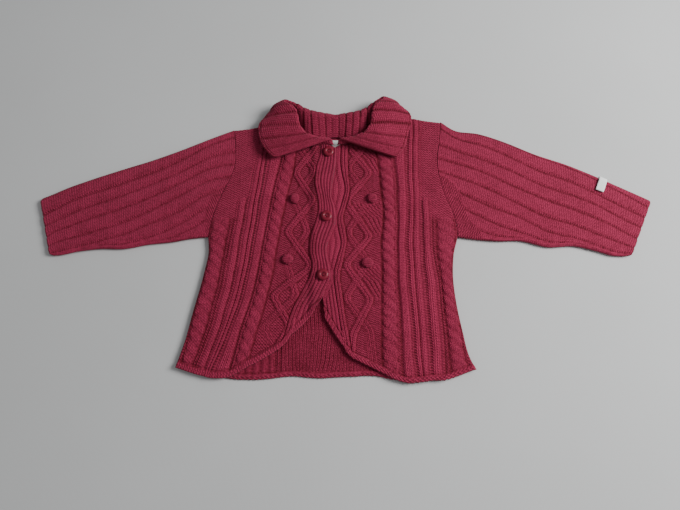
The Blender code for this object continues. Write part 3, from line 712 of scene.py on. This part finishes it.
def knit_shell(name, outer, inner, knit, step, ring=False, inner_knit=None, kind="knit"):
    """A closed wall of cloth. The outer grid is whole, the inner one keeps every step-th point.

    With ring set, each row closes on itself and the wall is a tube with open ends.
    """
    thin = inner[::step, ::step]
    verts = np.concatenate((outer.reshape(-1, 3), thin.reshape(-1, 3)))
    verts[:, :2] += SHIFT
    outer_at = np.arange(outer[..., 0].size).reshape(outer.shape[:2])
    inner_at = outer_at.size + np.arange(thin[..., 0].size).reshape(thin.shape[:2])
    if ring:
        outer_at = np.concatenate((outer_at, outer_at[:, :1]), axis=1)
        inner_at = np.concatenate((inner_at, inner_at[:, :1]), axis=1)
    faces = quads(outer_at) + [face[::-1] for face in quads(inner_at)]

    def border(fine, coarse, flip):
        for i in range(len(coarse) - 1):
            face = list(fine[i * step:(i + 1) * step + 1]) + [coarse[i + 1], coarse[i]]
            faces.append([int(v) for v in (face if flip else face[::-1])])

    border(outer_at[0], inner_at[0], False)
    border(outer_at[-1], inner_at[-1], True)
    if not ring:
        border(outer_at[:, 0], inner_at[:, 0], True)
        border(outer_at[:, -1], inner_at[:, -1], False)
    mesh = bpy.data.meshes.new(name)
    mesh.from_pydata(verts * MM, [], faces)
    mesh.validate()
    seen = knit.attributes()
    hidden = (inner_knit or knit).attributes()[::step, ::step]
    add_attributes(mesh, np.concatenate((seen.reshape(-1, 5), hidden.reshape(-1, 5))))
    return place(name, mesh, kind)


def plain_knit(x, y, purl=0.0):
    """Even stitches all over, for the hidden side of a wall."""
    knit = Knit(x.shape)
    knit.wale = x / WALE
    knit.course = y / COURSE
    knit.purl[:] = purl
    knit.shade[:] = 0.7
    return knit


def label_lift(x, y):
    """The button side's underside is lifted where it lies on the neck label."""
    x0, x1, y0, _, thickness = NECK_LABEL
    over = ease((x - x0 + 10) / 5) * ease((x1 + 12 - x) / 5) * ease((y - y0 + 10) / 4)
    return (thickness + LAYER_GAP) * over


def overlap_lift(x):
    """How far the buttonhole side is lifted where it lies on the button side."""
    return (FRONT_WALL + LAYER_GAP) * ease((x - OVERLAP_EDGE) / OVERLAP_RAMP + 1)


def front_shell(name, x, y, under, relief, knit):
    over = np.maximum(under + LAYER_GAP, relief)
    hidden = plain_knit(x, y)
    return knit_shell(name, joined(x, y, over), joined(x, y, under), knit, INNER_STEP, inner_knit=hidden)


def make_front_right():
    x, y, knit = front_grid(FRONT_RIGHT_LINES, RIGHT_SIDE, RIGHT_SIDE_ENDS, "right")
    x, y, drop = finish_edges(knit, x, y, 0.6, "right")
    covered = 1.0 + 2.6 * ease((-42.0 - y) / 8.0)
    shown = ease((x - table_curve(OPENING_LEFT, y) - covered) / 2.0)
    base = BACK_WALL + LAYER_GAP
    top = base + FRONT_WALL + knit.height() * shown - drop
    return front_shell("knit_front_right", x, y, base + label_lift(x, y), top, knit)


def make_front_left():
    x, y, knit = front_grid(FRONT_LEFT_LINES, LEFT_SIDE, LEFT_SIDE_ENDS, "left")
    x, y, drop = finish_edges(knit, x, y, 1.8, "left")
    opening = np.abs(x - x[:, :1])
    # painted shade along the opening edge
    knit.shade *= 1 - 0.25 * (1 - ease(opening / 0.8))
    under = BACK_WALL + LAYER_GAP + overlap_lift(x)
    top = under + FRONT_WALL + knit.height() - drop
    return front_shell("knit_front_left", x, y, under, top, knit)


def make_back():
    """One flat panel: ribs show on its inside in the cutaway, and its outside is laid flat."""
    t = np.linspace(0.0, 1.0, BACK_ROWS + 1)
    share = np.interp(np.linspace(0.0, 1.0, BACK_COLUMNS + 1), *BACK_SPREAD)
    left, right = (
        table_curve(side, low + (high - low) * t)[:, None]
        for side, (high, low) in ((LEFT_SIDE, LEFT_SIDE_ENDS), (RIGHT_SIDE, RIGHT_SIDE_ENDS))
    )
    x = left + (right - left) * share
    foot = table_curve(BACK_HEM, x[0])
    y = foot + (table_curve(BACK_TOP, x[-1]) - foot) * t[:, None]
    knit = plain_knit(x, y, purl=1.0)
    rib = (x + 2.6 * waver(x, y, 60.0, 4) + 0.9 * waver(x, y, 24.0, 11)) / BACK_RIB
    valley = off_middle(rib)
    shown = ease((BACK_RIBS_BELOW - y) / 12.0) * ease((x + 130) / 10) * ease((70 - x) / 10)
    broad_valley = off_middle(x / BACK_BROAD_RIB)
    broad = ease((BACK_FOLD_X - x) / 4.0) * shown
    fold = (1 - ease(np.abs(x - BACK_FOLD_X) / 2.5)) * shown
    uneven = (0.65 + 0.35 * waver(x, y, 24.0, 6)) * (1 - 0.6 * broad)
    groove = BACK_GROOVE * valley**2 * uneven + 0.9 * broad_valley**2 * broad + 0.7 * fold
    knit.rise = -(groove + 0.3 + 0.3 * waver(x, y, 33.0, 9)) * shown
    knit.wale = rib + 0.5
    knit.purl = 1 - shown
    # painted shade in the rib valleys, the broad valleys and the fold
    knit.shade = 0.68 * (1 + 0.12 * waver(x, y, 20.0, 2)) - 0.5 * valley**2 * uneven * shown
    knit.shade *= (1 - 0.6 * broad_valley**2 * broad) * (1 - 0.5 * fold)
    x, y, drop = finish_edges(knit, x, y, 0.0, "right")
    # painted shade: the back, which lies under the fronts, is darker overall, with a slow uneven tone
    knit.shade *= 0.85 + 0.12 * waver(x, y, 12.0, 7)
    top = np.minimum(knit.height() - STITCH_RISE / 2, 0.0)
    upper = joined(x, y, BACK_WALL + top - drop * 0.6)
    outside = plain_knit(x, y)
    under_valley = off_middle(x / OUTSIDE_RIB)
    # painted shade in the valleys of the laid-down outside
    outside.shade = 1 - 0.7 * under_valley**4
    lower = joined(x, y, 0.5 * under_valley**6 + drop * 0.35)
    return knit_shell("knit_back", upper, lower, knit, BACK_INNER_STEP, inner_knit=outside)


def sleeve_plan(sections, side, folds, fade, fraction):
    """X and Y on a sleeve, at fractions of its width from the upper fold to the lower one.

    At the armhole the sleeve bows with the side of the front, and fade takes that back.
    """
    fraction = fraction[..., None]
    points = folds[:, None, :2] + (folds[:, None, 2:] - folds[:, None, :2]) * fraction
    armhole = np.array(sections[0], float)
    chord = armhole[:2] + (armhole[2:] - armhole[:2]) * fraction
    bow = table_curve(side, chord[..., 1]) - chord[..., 0]
    points[..., 0] += (bow + math.copysign(SEAM_GAP, sections[-1][0])) * fade
    return points


def sleeve_grooves(hand, stations, width):
    """Where the grooves cross a sleeve at each station, as shares of its width."""
    table = np.array(SLEEVE_GROOVES)
    if hand == "right":
        table = np.column_stack((UPPER_GROOVE, table))
    grooves = smooth(np.arange(len(table)), table, stations)
    stray = waver(27.0 * stations[:, None], 31.0 * np.arange(table.shape[1]), 60.0, len(hand))
    stray *= ease(8 * np.minimum(grooves, 1 - grooves))
    return np.sort(grooves + 1.6 * LINE_STRAY / width * stray, axis=1)


def sleeve_knit(hand, side, grooves, at, plan, width):
    """Ribs across the top of a sleeve, at shares of its width."""
    x, y = plan[..., 0], plan[..., 1]
    borders = np.pad(grooves, ((0, 0), (1, 1)), constant_values=(0.0, 1.0))
    index = (at[:, None] >= grooves[:, None, :]).sum(axis=2)
    start = np.take_along_axis(borders, index, axis=1)
    span = np.take_along_axis(borders, index + 1, axis=1) - start
    share = (at - start) / span
    size = ease((span * width - 2.0) / 5.0)
    plateau = ridge(share, 0.0, 0.86, SLEEVE_RIB_SLOPE[hand])
    gutter = ridge(share, 0.62, 0.99, 0.08)
    knit = Knit(x.shape)
    knit.rise = SLEEVE_RISE[hand] * size * np.maximum(plateau, 0.5 * gutter)
    wales = np.maximum(np.round(span * width * RIB_SHARE / WALE), 1)
    knit.wale = (share - RIB_SHARE) * span * width / WALE
    knit.stitch(share < RIB_SHARE, share / RIB_SHARE * wales, 0.0)
    # painted shade in the grooves and the gutters, weaker on narrow ribs
    groove = SLEEVE_GROOVE_SHADE[hand]
    knit.shade = groove + (1 - groove) * np.maximum(plateau, 0.6 * gutter)
    knit.shade = 1 - (1 - knit.shade) * (0.3 + 0.7 * size)
    gusset = table_curve(GUSSETS[hand], y)
    ribbed = ease((np.abs(x - table_curve(side, y)) - gusset) / 3.0 + ease(1 - gusset / 3.0))
    knit.blend(ribbed, 0.5, 0.66)
    knit.stitch(ribbed < 0.5, at * width / WALE, 1.0)
    knit.unsettle(x, y, 20 + len(hand))
    return knit


def make_sleeve(hand, sections, side):
    """A flattened tube: its points run down the top from the upper fold, and back below."""
    stations = np.linspace(0.0, len(sections) - 1.0, SLEEVE_ROWS + 1)
    folds = smooth(np.arange(len(sections)), sections, stations)
    chord = folds[:, 2:] - folds[:, :2]
    width = np.linalg.norm(chord, axis=1, keepdims=True)
    fade = np.maximum(0.0, 1.0 - stations[:, None] / 3.0) ** 2
    even = np.linspace(0.0, 1.0, SLEEVE_TOP_COLUMNS + 1)
    top_at = 0.25 * (1 - np.cos(math.pi * even)) / 2 + 0.75 * even
    under_even = np.linspace(0.0, 1.0, SLEEVE_UNDER_COLUMNS + 1)[1:-1]
    under_at = (1 + np.cos(math.pi * under_even)) / 2
    at = np.concatenate((top_at, under_at)) + 0 * width
    top = len(top_at)
    on_top = np.arange(at.shape[1]) < top
    away = np.minimum(at, 1 - at) * width
    plan = sleeve_plan(sections, side, folds, fade, at)
    grooves = sleeve_grooves(hand, stations, width)
    ribbed = sleeve_knit(hand, side, grooves, top_at, plan[:, :top], width)
    ribbed.rise *= ease(away[:, :top] / 5.0)

    reach = CUFF_SCALLOP * (ribbed.shade - 0.7)
    under_reach = [np.interp(under_at, top_at, row) for row in reach]
    reach = np.concatenate((reach, under_reach), axis=1) - edge_drop(away, CUFF_CORNER)
    near_cuff = ease((stations[:, None] - len(sections) + 1.35) / 0.35)
    outward = np.column_stack((-chord[:, 1], chord[:, 0])) / width
    scallop = outward[:, None] * (reach * near_cuff * (1 if hand == "right" else -1))[..., None]
    plan += scallop
    inset = SLEEVE_WALL / width
    inner_plan = sleeve_plan(sections, side, folds, fade, inset + (1 - 2 * inset) * at) + scallop
    half = np.where(on_top, SLEEVE_SLOT / 2, -SLEEVE_SLOT / 2) * ease(away / 4.0)
    inner_height = SLEEVE_WALL + SLEEVE_SLOT / 2 + half

    knit = Knit(at.shape)
    for field in ("rise", "wale", "purl", "shade"):
        getattr(knit, field)[:, :top] = getattr(ribbed, field)
    along = distance_along(plan, 0)[:, top // 2, None]
    knit.course[:] = along / COURSE
    knit.wale[:, top:] = under_at * width / WALE
    knit.purl[:, top:] = 0.0
    knit.shade[:, top:] = 0.75
    ends = edge_drop(along[-1] - along, EDGE_ROUND) + 0.4 * edge_drop(along, ARMHOLE_ROUND)
    drop = edge_drop(away, SLEEVE_ROUND)
    thickness = 2 * SLEEVE_WALL + SLEEVE_SLOT
    relief = knit.height() * ease(np.minimum(drop, thickness - drop) / 2.0 + 0.3)
    high = np.where(on_top, thickness - drop + relief - ends, drop)
    outer = np.concatenate((plan, high[..., None]), axis=-1)
    inner = np.concatenate((inner_plan, inner_height[..., None]), axis=-1)
    return knit_shell(f"knit_sleeve_{hand}", outer, inner, knit, INNER_STEP, ring=True)


def collar_frames(rib_at):
    """Control points of the collar's sections at rib counts, which are negative on the left."""
    table = np.array([np.hstack(row) for row in COLLAR_HALF])
    from_end = table[-1, 0] - np.abs(rib_at)
    rows = smooth(table[:, 0], table[:, 1:], from_end)
    points = rows[:, 2:].reshape(-1, 4, 3)
    right = (rib_at > 0)[:, None]
    points[:, 2:, 0] -= np.where(right, rows[:, 1:2], 0.0)
    points[:, 2:, 2] += np.where(right, 0.0, LEFT_WING_LIFT * ease(2.0 - from_end)[:, None])
    turn = np.where(right, np.radians(rows[:, :1]), 0.0)
    x = points[..., 0].copy()
    y = points[..., 1] - COLLAR_PIVOT_Y
    points[..., 0] = np.where(right, x * np.cos(turn) - y * np.sin(turn), -x) + COLLAR_MIDDLE_X
    points[..., 1] = x * np.sin(turn) + y * np.cos(turn) + COLLAR_PIVOT_Y
    return points


def collar_section(points, places):
    """A section through its control points, rounded where it turns over the roll line."""
    section = np.column_stack([np.interp(COLLAR_PROFILE, range(len(points)), c) for c in points.T])
    section[1:-1] = (section[:-2] + 2 * section[1:-1] + section[2:]) / 4
    return smooth(COLLAR_PROFILE, section, places)


def grid_normals(points, probe):
    """Unit normals of a grid of points, turned so that the one at probe points up."""
    normal = unit(np.cross(np.gradient(points, axis=0), np.gradient(points, axis=1)))
    return normal * math.copysign(1.0, normal[probe][2])


def round_wing_tips(surface):
    """Shorten the rows near both front ends, so that each wing's lower tip is an arc."""
    along_edge = distance_along(surface, 0)[:, -1]
    cut = edge_drop(np.minimum(along_edge, along_edge[-1] - along_edge), COLLAR_TIP_ROUND)
    down = distance_along(surface, 1)
    shortened = down - cut[:, None] * ease(2.5 * down / down[:, -1:] - 1.5)
    return np.array([
        np.column_stack([np.interp(at, old, axis) for axis in row.T])
        for at, old, row in zip(shortened, down, surface)
    ])


def make_collar():
    """A ribbed band, folded over along its roll line, with its wings on the fronts."""
    last = COLLAR_HALF[-1][0]
    count = int(2 * last * COLLAR_ROWS_PER_RIB)
    count += -count % INNER_STEP
    rib_at = np.linspace(-last, last, count + 1)
    from_end = last - np.abs(rib_at)
    places = np.linspace(0.0, COLLAR_PROFILE[-1], COLLAR_COLUMNS + 1)
    frames = collar_frames(rib_at)
    surface = round_wing_tips(np.array([collar_section(points, places) for points in frames]))
    droop = RIGHT_WING_DROOP * ease((4.0 - from_end) / 3.0) * (rib_at > 0)
    surface[..., 2] -= droop[:, None] * ease((places - 1.5) / 1.5)
    normal = grid_normals(surface, (count // 2, 20))
    nearest = np.abs(from_end - np.round(from_end))
    corner = ease((np.abs(from_end - COLLAR_CORNER_RIB) - 0.4) / 0.8)
    depth = smooth(range(len(COLLAR_DEPTHS)), COLLAR_DEPTHS, np.round(rib_at + last))
    depth *= 0.35 + 0.65 * corner
    crest = (1 - depth * (1 - ease((nearest - 0.02) / 0.18)))[:, None] + 0 * surface[..., 0]
    down = distance_along(surface, 1)
    edge = down[:, -1:] - down
    run = distance_along(surface, 0)
    ends = np.minimum(run, run[-1] - run)
    lip = 1 - ease((edge - 1.8) / 0.9)
    seam_groove = ridge(edge, 1.8, 4.6, 1.2)
    bead = np.abs(np.sin(math.pi * run[:, -1:] / COLLAR_BEAD_PITCH))
    knit = Knit(crest.shape)
    knit.rise = COLLAR_RISE * crest
    knit.wale = (from_end * 3)[:, None] + 0 * crest
    knit.course = down / COURSE
    knit.purl = (nearest < 0.12)[:, None] + 0.0 * crest
    # painted shade in the grooves between the ribs
    knit.shade = 0.02 + 0.78 * crest
    knit.shade *= 1 + 0.1 * waver(surface[..., 0], surface[..., 1], 15.0, 3)
    # painted shade in the groove behind the lip and between its beads, which are lighter
    knit.shade *= (1 - 0.4 * seam_groove) * (1 - lip * (0.5 - 0.6 * bead))
    # painted light on the inside of the stand by the neck seam, which lies in the wings' shade
    knit.shade *= 1 + 0.2 * ease((0.9 - places) / 0.3)
    roll = 1 - ease(1.6 - np.abs(places - 1.0) / 0.5)
    drop = np.maximum(edge_drop(edge, 1.6), edge_drop(ends, 1.6))
    fade = ease(edge / 4.0) * ease(ends / 3.0) * ease(down / 6.0)
    seen_wall = COLLAR_WALL / 2 - COLLAR_TURN_THIN * (1 - corner)
    inside_wall = COLLAR_WALL / 2 - COLLAR_TURN_THIN * (1 - roll)
    out = seen_wall[:, None] + knit.height() * fade + (0.3 + 0.5 * bead) * lip - 0.5 * seam_groove - drop * 0.8
    seen = surface + normal * out[..., None]
    inside = surface - normal * inside_wall[None, :, None]
    return knit_shell("knit_collar", seen, inside, knit, INNER_STEP)


class Look:
    """A material in the making: its shader and the nodes that feed it."""

    def __init__(self, name, sockets):
        self.made = bpy.data.materials.new(name)
        self.made.use_nodes = True
        self.nodes = self.made.node_tree.nodes
        self.shader = self.nodes["Principled BSDF"]
        self.feed(self.shader, sockets)
        self.place = self.node("TexCoord").outputs["Object"]

    def feed(self, node, sockets):
        """Link each named input of a node to another node's output, or set its value."""
        for socket, value in sockets.items():
            if isinstance(value, bpy.types.NodeSocket):
                self.made.node_tree.links.new(value, node.inputs[socket])
            else:
                node.inputs[socket].default_value = value

    def node(self, kind, sockets=None, **settings):
        new = self.nodes.new(f"ShaderNode{kind}")
        for key, value in settings.items():
            setattr(new, key, value)
        self.feed(new, sockets or {})
        return new

    def math(self, operation, *values):
        return self.node("Math", dict(enumerate(values)), operation=operation).outputs[0]

    def attribute(self, name, output="Fac"):
        return self.node("Attribute", attribute_name=name).outputs[output]

    def noise(self, scale, detail=2.0, distortion=0.0):
        sockets = {
            "Vector": self.place, "Scale": scale, "Detail": detail, "Distortion": distortion,
        }
        return self.node("TexNoise", sockets).outputs["Fac"]

    def colour(self, factor, dark, light, start=0.0, end=1.0):
        """Colour the surface from dark to light, as the factor runs from start to end."""
        ramp = self.node("ValToRGB", {"Fac": factor})
        for stop, position, colour in zip(ramp.color_ramp.elements, (start, end), (dark, light)):
            stop.position = position
            stop.color = (*colour, 1.0)
        self.feed(self.shader, {"Base Color": ramp.outputs["Color"]})

    def bump(self, height, strength, distance):
        sockets = {"Height": height, "Strength": strength, "Distance": distance}
        self.feed(self.shader, {"Normal": self.node("Bump", sockets).outputs["Normal"]})


def knit_material():
    """Cotton yarn: V stitches and purl bars from the stitch attribute, plies and fuzz on them. The shade
    attribute and the stitches are painted into the colour as light and shade.
    """
    look = Look("knit", {
        "Roughness": 0.9, "Specular IOR Level": 0.16, "Sheen Weight": 0.09,
        "Sheen Roughness": 0.45, "Sheen Tint": (1.0, 0.62, 0.72, 1.0),
    })
    calc = look.math

    def wave(count):
        return calc("COSINE", calc("MULTIPLY", count, TAU))

    def mix(factor, low, high):
        return calc("MULTIPLY_ADD", factor, calc("SUBTRACT", high, low), low)

    split = look.node("SeparateXYZ", {0: look.attribute("stitch", "Vector")})
    wale, course, purl = split.outputs
    across = calc("MULTIPLY", 2.0, calc("ABSOLUTE", calc("SUBTRACT", calc("FRACT", wale), 0.5)))
    middle = calc("MULTIPLY_ADD", across, 2.0, -1.0)
    leg = calc("SUBTRACT", 1.0, calc("MULTIPLY", middle, middle))
    stroke = wave(calc("MULTIPLY_ADD", across, -LEG_SLANT, course))
    loop = calc("MULTIPLY", leg, calc("MULTIPLY_ADD", stroke, LEG_DEPTH, 1 - LEG_DEPTH))
    bar = wave(calc("MULTIPLY_ADD", wave(wale), BAR_SWAY, course))
    bar = calc("MULTIPLY_ADD", bar, 0.5, 0.5)
    yarn = mix(look.attribute("calm"), 0.5, mix(purl, loop, bar))

    fuzz = look.noise(1500.0, 3.0)
    patches = look.noise(28.0, 4.0)
    heather = look.noise(520.0)
    look.bump(calc("MULTIPLY_ADD", fuzz, 0.35, yarn), 0.7, 0.001)
    # painted light and shade: the shade attribute and the stitch pattern lighten and darken the colour
    light = calc("MULTIPLY", look.attribute("shade"), calc("MULTIPLY_ADD", yarn, 0.5, 0.55))
    for noise, weight in ((patches, 0.4), (heather, 1.4)):
        light = calc("MULTIPLY_ADD", calc("SUBTRACT", noise, 0.5), weight, light)
    look.colour(light, (0.10, 0.0042, 0.0125), (0.325, 0.025, 0.069))
    return look.made


def button_material():
    """Dyed plastic with faint swirls, glossy with fine scratches."""
    look = Look("button", {
        "Roughness": 0.5, "Specular IOR Level": 0.2, "Coat Weight": 0.14, "Coat Roughness": 0.12,
    })
    swirl = look.noise(260.0, distortion=1.5)
    look.colour(swirl, (0.13, 0.004, 0.015), (0.20, 0.009, 0.028))
    look.bump(swirl, 0.1, 0.0001)
    return look.made


def woven_material(name, dark, light, scale, roughness, depth):
    """Plain weave of two crossing threads, with slightly uneven colour."""
    look = Look(name, {"Roughness": roughness, "Specular IOR Level": 0.2})
    sockets = {"Vector": look.place, "Scale": scale, "Distortion": 0.4}
    threads = [look.node("TexWave", sockets, bands_direction=way).outputs["Fac"] for way in "XY"]
    weave = look.math("MULTIPLY", *threads)
    cloud = look.noise(3.0, 6.0)
    look.colour(look.math("MULTIPLY_ADD", weave, 0.25, cloud), dark, light, 0.3, 0.9)
    look.bump(weave, 0.35, depth)
    return look.made


MATERIALS = {
    "knit": knit_material(),
    "button": button_material(),
    "label": woven_material("label", (0.74, 0.74, 0.73), (0.88, 0.88, 0.87), 500.0, 0.75, 0.0002),
    "floor": woven_material("floor", (0.50, 0.505, 0.50), (0.56, 0.565, 0.565), 260.0, 0.9, 0.0001),
}


def frame_mesh(bm, name, at=(0.0, 0.0, 0.0)):
    """The mesh of a bmesh in the tables' millimetres, moved by at and into the frame."""
    bmesh.ops.translate(bm, vec=(at[0] + SHIFT[0], at[1] + SHIFT[1], at[2]), verts=bm.verts)
    bmesh.ops.scale(bm, vec=(MM, MM, MM), verts=bm.verts)
    mesh = bpy.data.meshes.new(name)
    bm.to_mesh(mesh)
    bm.free()
    return mesh


def ball_mesh(rings, name, stitches):
    """A closed mesh over rings of points, with a face over each end. stitches has a row for each."""
    bm = bmesh.new()
    grid = [[bm.verts.new(point) for point in ring] for ring in rings]
    for a, b in zip(grid[:-1], grid[1:]):
        for k in range(len(a)):
            n = (k + 1) % len(a)
            bm.faces.new((a[k], a[n], b[n], b[k]))
    bm.faces.new(grid[0])
    bm.faces.new(grid[-1][::-1])
    mesh = frame_mesh(bm, name)
    add_attributes(mesh, stitches.reshape(-1, 5))
    return mesh


def cut_hole(made, at):
    """A sewing hole through a button."""
    bm = bmesh.new()
    bmesh.ops.create_cone(
        bm, cap_ends=True, segments=20, radius1=BUTTON_HOLE_RADIUS,
        radius2=BUTTON_HOLE_RADIUS, depth=4 * BUTTON_HEIGHT,
    )
    hole = link("hole", frame_mesh(bm, "hole", at))
    cut = made.modifiers.new("hole", "BOOLEAN")
    cut.operation = "DIFFERENCE"
    cut.object = hole
    bpy.context.view_layer.update()
    done = made.evaluated_get(bpy.context.evaluated_depsgraph_get())
    made.data = bpy.data.meshes.new_from_object(done)
    made.modifiers.clear()
    bpy.data.objects.remove(hole)


def make_thread(name, x, y, base):
    """The sewing thread: a short twisted bar from hole to hole, sunk into the well."""
    s = np.linspace(-1.0, 1.0, 25)[:, None]
    angle = np.linspace(0.0, TAU, 11)[:-1]
    height = base + BUTTON_HEIGHT * (0.9 - 0.55 * np.maximum(0.0, np.abs(s) - 0.55) / 0.45)
    radius = THREAD_RADIUS + 0.06 * np.cos(2 * angle + 9 * s)
    rings = joined(
        x + radius * np.cos(angle), y + s * (BUTTON_HOLE_SPACING / 2 + 0.2),
        height + radius * np.sin(angle),
    )
    stitches = np.tile((0.0, 0.0, 0.0, 0.8, 1.0), (radius.size, 1))
    return place(name, ball_mesh(rings, name, stitches), "knit")


def make_button(name, x, y):
    """A round button, domed up to a ridge round the small well of its two holes."""
    base = BACK_WALL + 2 * (LAYER_GAP + FRONT_WALL) + BUTTON_SEAT + LAYER_GAP
    bm = bmesh.new()
    verts = [
        bm.verts.new((out * BUTTON_RADIUS, 0.0, up * BUTTON_HEIGHT)) for out, up in BUTTON_PROFILE
    ]
    edges = [bm.edges.new(pair) for pair in zip(verts[:-1], verts[1:])]
    bmesh.ops.spin(
        bm, geom=verts + edges, cent=(0, 0, 0), axis=(0, 0, 1), angle=TAU, steps=56,
        use_merge=True, use_duplicate=False,
    )
    bmesh.ops.remove_doubles(bm, verts=bm.verts, dist=0.001)
    bmesh.ops.translate(bm, vec=(x, y, base), verts=bm.verts)
    made = place(f"{name}_turned", frame_mesh(bm, name), "button")
    for side in (-1, 1):
        cut_hole(made, (x, y + side * BUTTON_HOLE_SPACING / 2, base))
    made.data.shade_smooth()
    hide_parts(name)
    return [made, make_thread(f"{name}_thread", x, y, base)]


def make_bobble(name, x, y, half_width, half_height):
    """A knitted ball on the diamond column: wales run over it from top to bottom."""
    base = BACK_WALL + LAYER_GAP + FRONT_WALL + BOBBLE_SEAT
    polar = np.linspace(0.02, 1.0, 41)[:, None]
    angle = np.linspace(0.0, TAU, 49)[:-1]
    tilt = polar * 0.53 * math.pi
    ball = joined(
        half_width * np.sin(tilt) * np.cos(angle), half_height * np.sin(tilt) * np.sin(angle),
        BOBBLE_RISE * 0.8 * np.cos(tilt),
    )
    knit = Knit(ball.shape[:2])
    knit.wale = ball[..., 0] / BOBBLE_STITCH[0] + 0.5
    knit.course = ball[..., 1] / BOBBLE_STITCH[1]
    knit.purl[:] = 0.0
    # painted shade towards the bobble's base
    knit.shade[:] = 0.95 - 0.3 * ease((polar - 0.6) / 0.4)
    relief = 0.6 * stitch_relief(knit.wale, knit.course, knit.purl) - 0.5
    relief += 0.2 * waver(10 * ball[..., 0], 10 * ball[..., 1], 90.0, half_width)
    ball += unit(ball) * relief[..., None]
    floor = -BOBBLE_RISE * 0.1
    ball[..., 2] = np.maximum(ball[..., 2], floor)
    ball += (x, y, base - floor)
    made = place(f"{name}_ball", ball_mesh(ball, name, knit.attributes()), "knit")
    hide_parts(name)
    return made


def tape(name, inside, thickness):
    """A thin closed tape over a grid of points, thickened away from the garment."""
    outside = inside + grid_normals(inside, (0, 0)) * thickness
    return knit_shell(name, outside, inside, Knit(inside.shape[:2]), 1, kind="label")


def make_sleeve_label():
    """A blank woven tape sewn round the upper fold of the right sleeve, near its cuff."""
    x, y, width, length, slope, thickness = SLEEVE_LABEL
    along = np.array((math.cos(math.radians(slope)), math.sin(math.radians(slope))))
    inward = np.array((along[1], -along[0]))
    top = 2 * SLEEVE_WALL + SLEEVE_SLOT
    over = top + 1.3 + LAYER_GAP
    profile = np.array((            # distance in from the fold, and height
        (length, over), (length * 0.6, over), (length * 0.25, over - 0.1),
        (1.0, top - 0.2), (-0.7, SLEEVE_ROUND + 0.8), (-0.7, 1.2),
    ))
    fine = smooth(np.arange(len(profile)), profile, np.linspace(0, len(profile) - 1.0, 25))
    share = np.linspace(0.0, 1.0, 9)[:, None]
    down = fine[:, 0]
    start = np.array((x, y)) + along * width * share
    height = fine[:, 1] + 0.15 * np.sin(3 * share + down / 3)
    flat = start[:, None] + inward * down[:, None]
    return tape("sleeve_label_tape", np.concatenate((flat, height[..., None]), axis=2), thickness)


def make_neck_label():
    """A small blank tape inside the back's neck, of which only the tip shows."""
    x0, x1, y0, y1, thickness = NECK_LABEL
    across, up = np.meshgrid(np.linspace(x0, x1, 13), np.linspace(y0, y1, 9))
    return tape("neck_label_tape", joined(across, up, BACK_WALL + LAYER_GAP), thickness)


def declare(piece, node):
    """Let a piece of cloth stand for its node, by hiding the node. The piece is not used."""
    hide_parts(node)


def make_cardigan():
    buttons = [piece for button in BUTTONS for piece in make_button(*button)]
    bobbles = [make_bobble(*bobble) for bobble in BOBBLES]
    declare(make_neck_label(), "neck_label")
    declare(make_sleeve_label(), "sleeve_label")
    declare(make_back(), "back")
    declare(make_front_right(), "front_right")
    declare(make_front_left(), "front_left")
    declare(make_sleeve("right", SLEEVE_RIGHT, RIGHT_SIDE), "sleeve_right")
    declare(make_sleeve("left", SLEEVE_LEFT, LEFT_SIDE), "sleeve_left")
    declare(make_collar(), "collar")


def make_floor():
    """The pale cloth that the cardigan lies on, with very low ripples away from it."""
    line = np.linspace(-FLOOR_SIZE / 2, FLOOR_SIZE / 2, FLOOR_STEPS + 1)
    x, y = np.meshgrid(line, line)
    away = np.maximum(np.abs(x) - FLOOR_LEVEL_HALF[0], np.abs(y) - FLOOR_LEVEL_HALF[1])
    waves = np.sin(2.3 * x + 1.1 * y + 0.6) * np.sin(1.7 * y - 0.8 * x)
    waves += 0.4 * np.sin(6 * x + 2 * y)
    z = -0.0004 - FLOOR_RIPPLE * (1 + waves) * ease(away / 0.25)
    mesh = bpy.data.meshes.new("floor")
    faces = quads(np.arange(x.size).reshape(x.shape))
    mesh.from_pydata(joined(x, y, z).reshape(-1, 3), [], faces)
    mesh.shade_smooth()
    mesh.materials.append(MATERIALS["floor"])
    link("floor", mesh)


def make_light():
    """One soft lamp beside the right sleeve."""
    data = bpy.data.lights.new("key", "AREA")
    data.shape = "RECTANGLE"
    data.size = data.size_y = 0.65
    data.energy = 34.0
    lamp = link("key", data)
    lamp.location = (1.2, 0.2, 0.92)
    direction = Vector((0.28, 0.0, 0.0)) - lamp.location
    lamp.rotation_euler = direction.to_track_quat("-Z", "Y").to_euler()


def make_camera():
    data = bpy.data.cameras.new("camera")
    data.sensor_width = 36.0
    data.lens = 29.12
    camera = link("camera", data)
    camera.location = (-0.0065, -0.18784, 0.607)
    camera.rotation_euler = (math.radians(15.0), 0.0, 0.0)
    bpy.context.scene.camera = camera


def make_world():
    world = bpy.data.worlds.new("studio")
    world.use_nodes = True
    background = world.node_tree.nodes["Background"]
    background.inputs["Color"].default_value = (0.97, 0.98, 1.0, 1.0)
    background.inputs["Strength"].default_value = 0.35
    bpy.context.scene.world = world


make_cardigan()
make_floor()
make_light()
make_world()
make_camera()
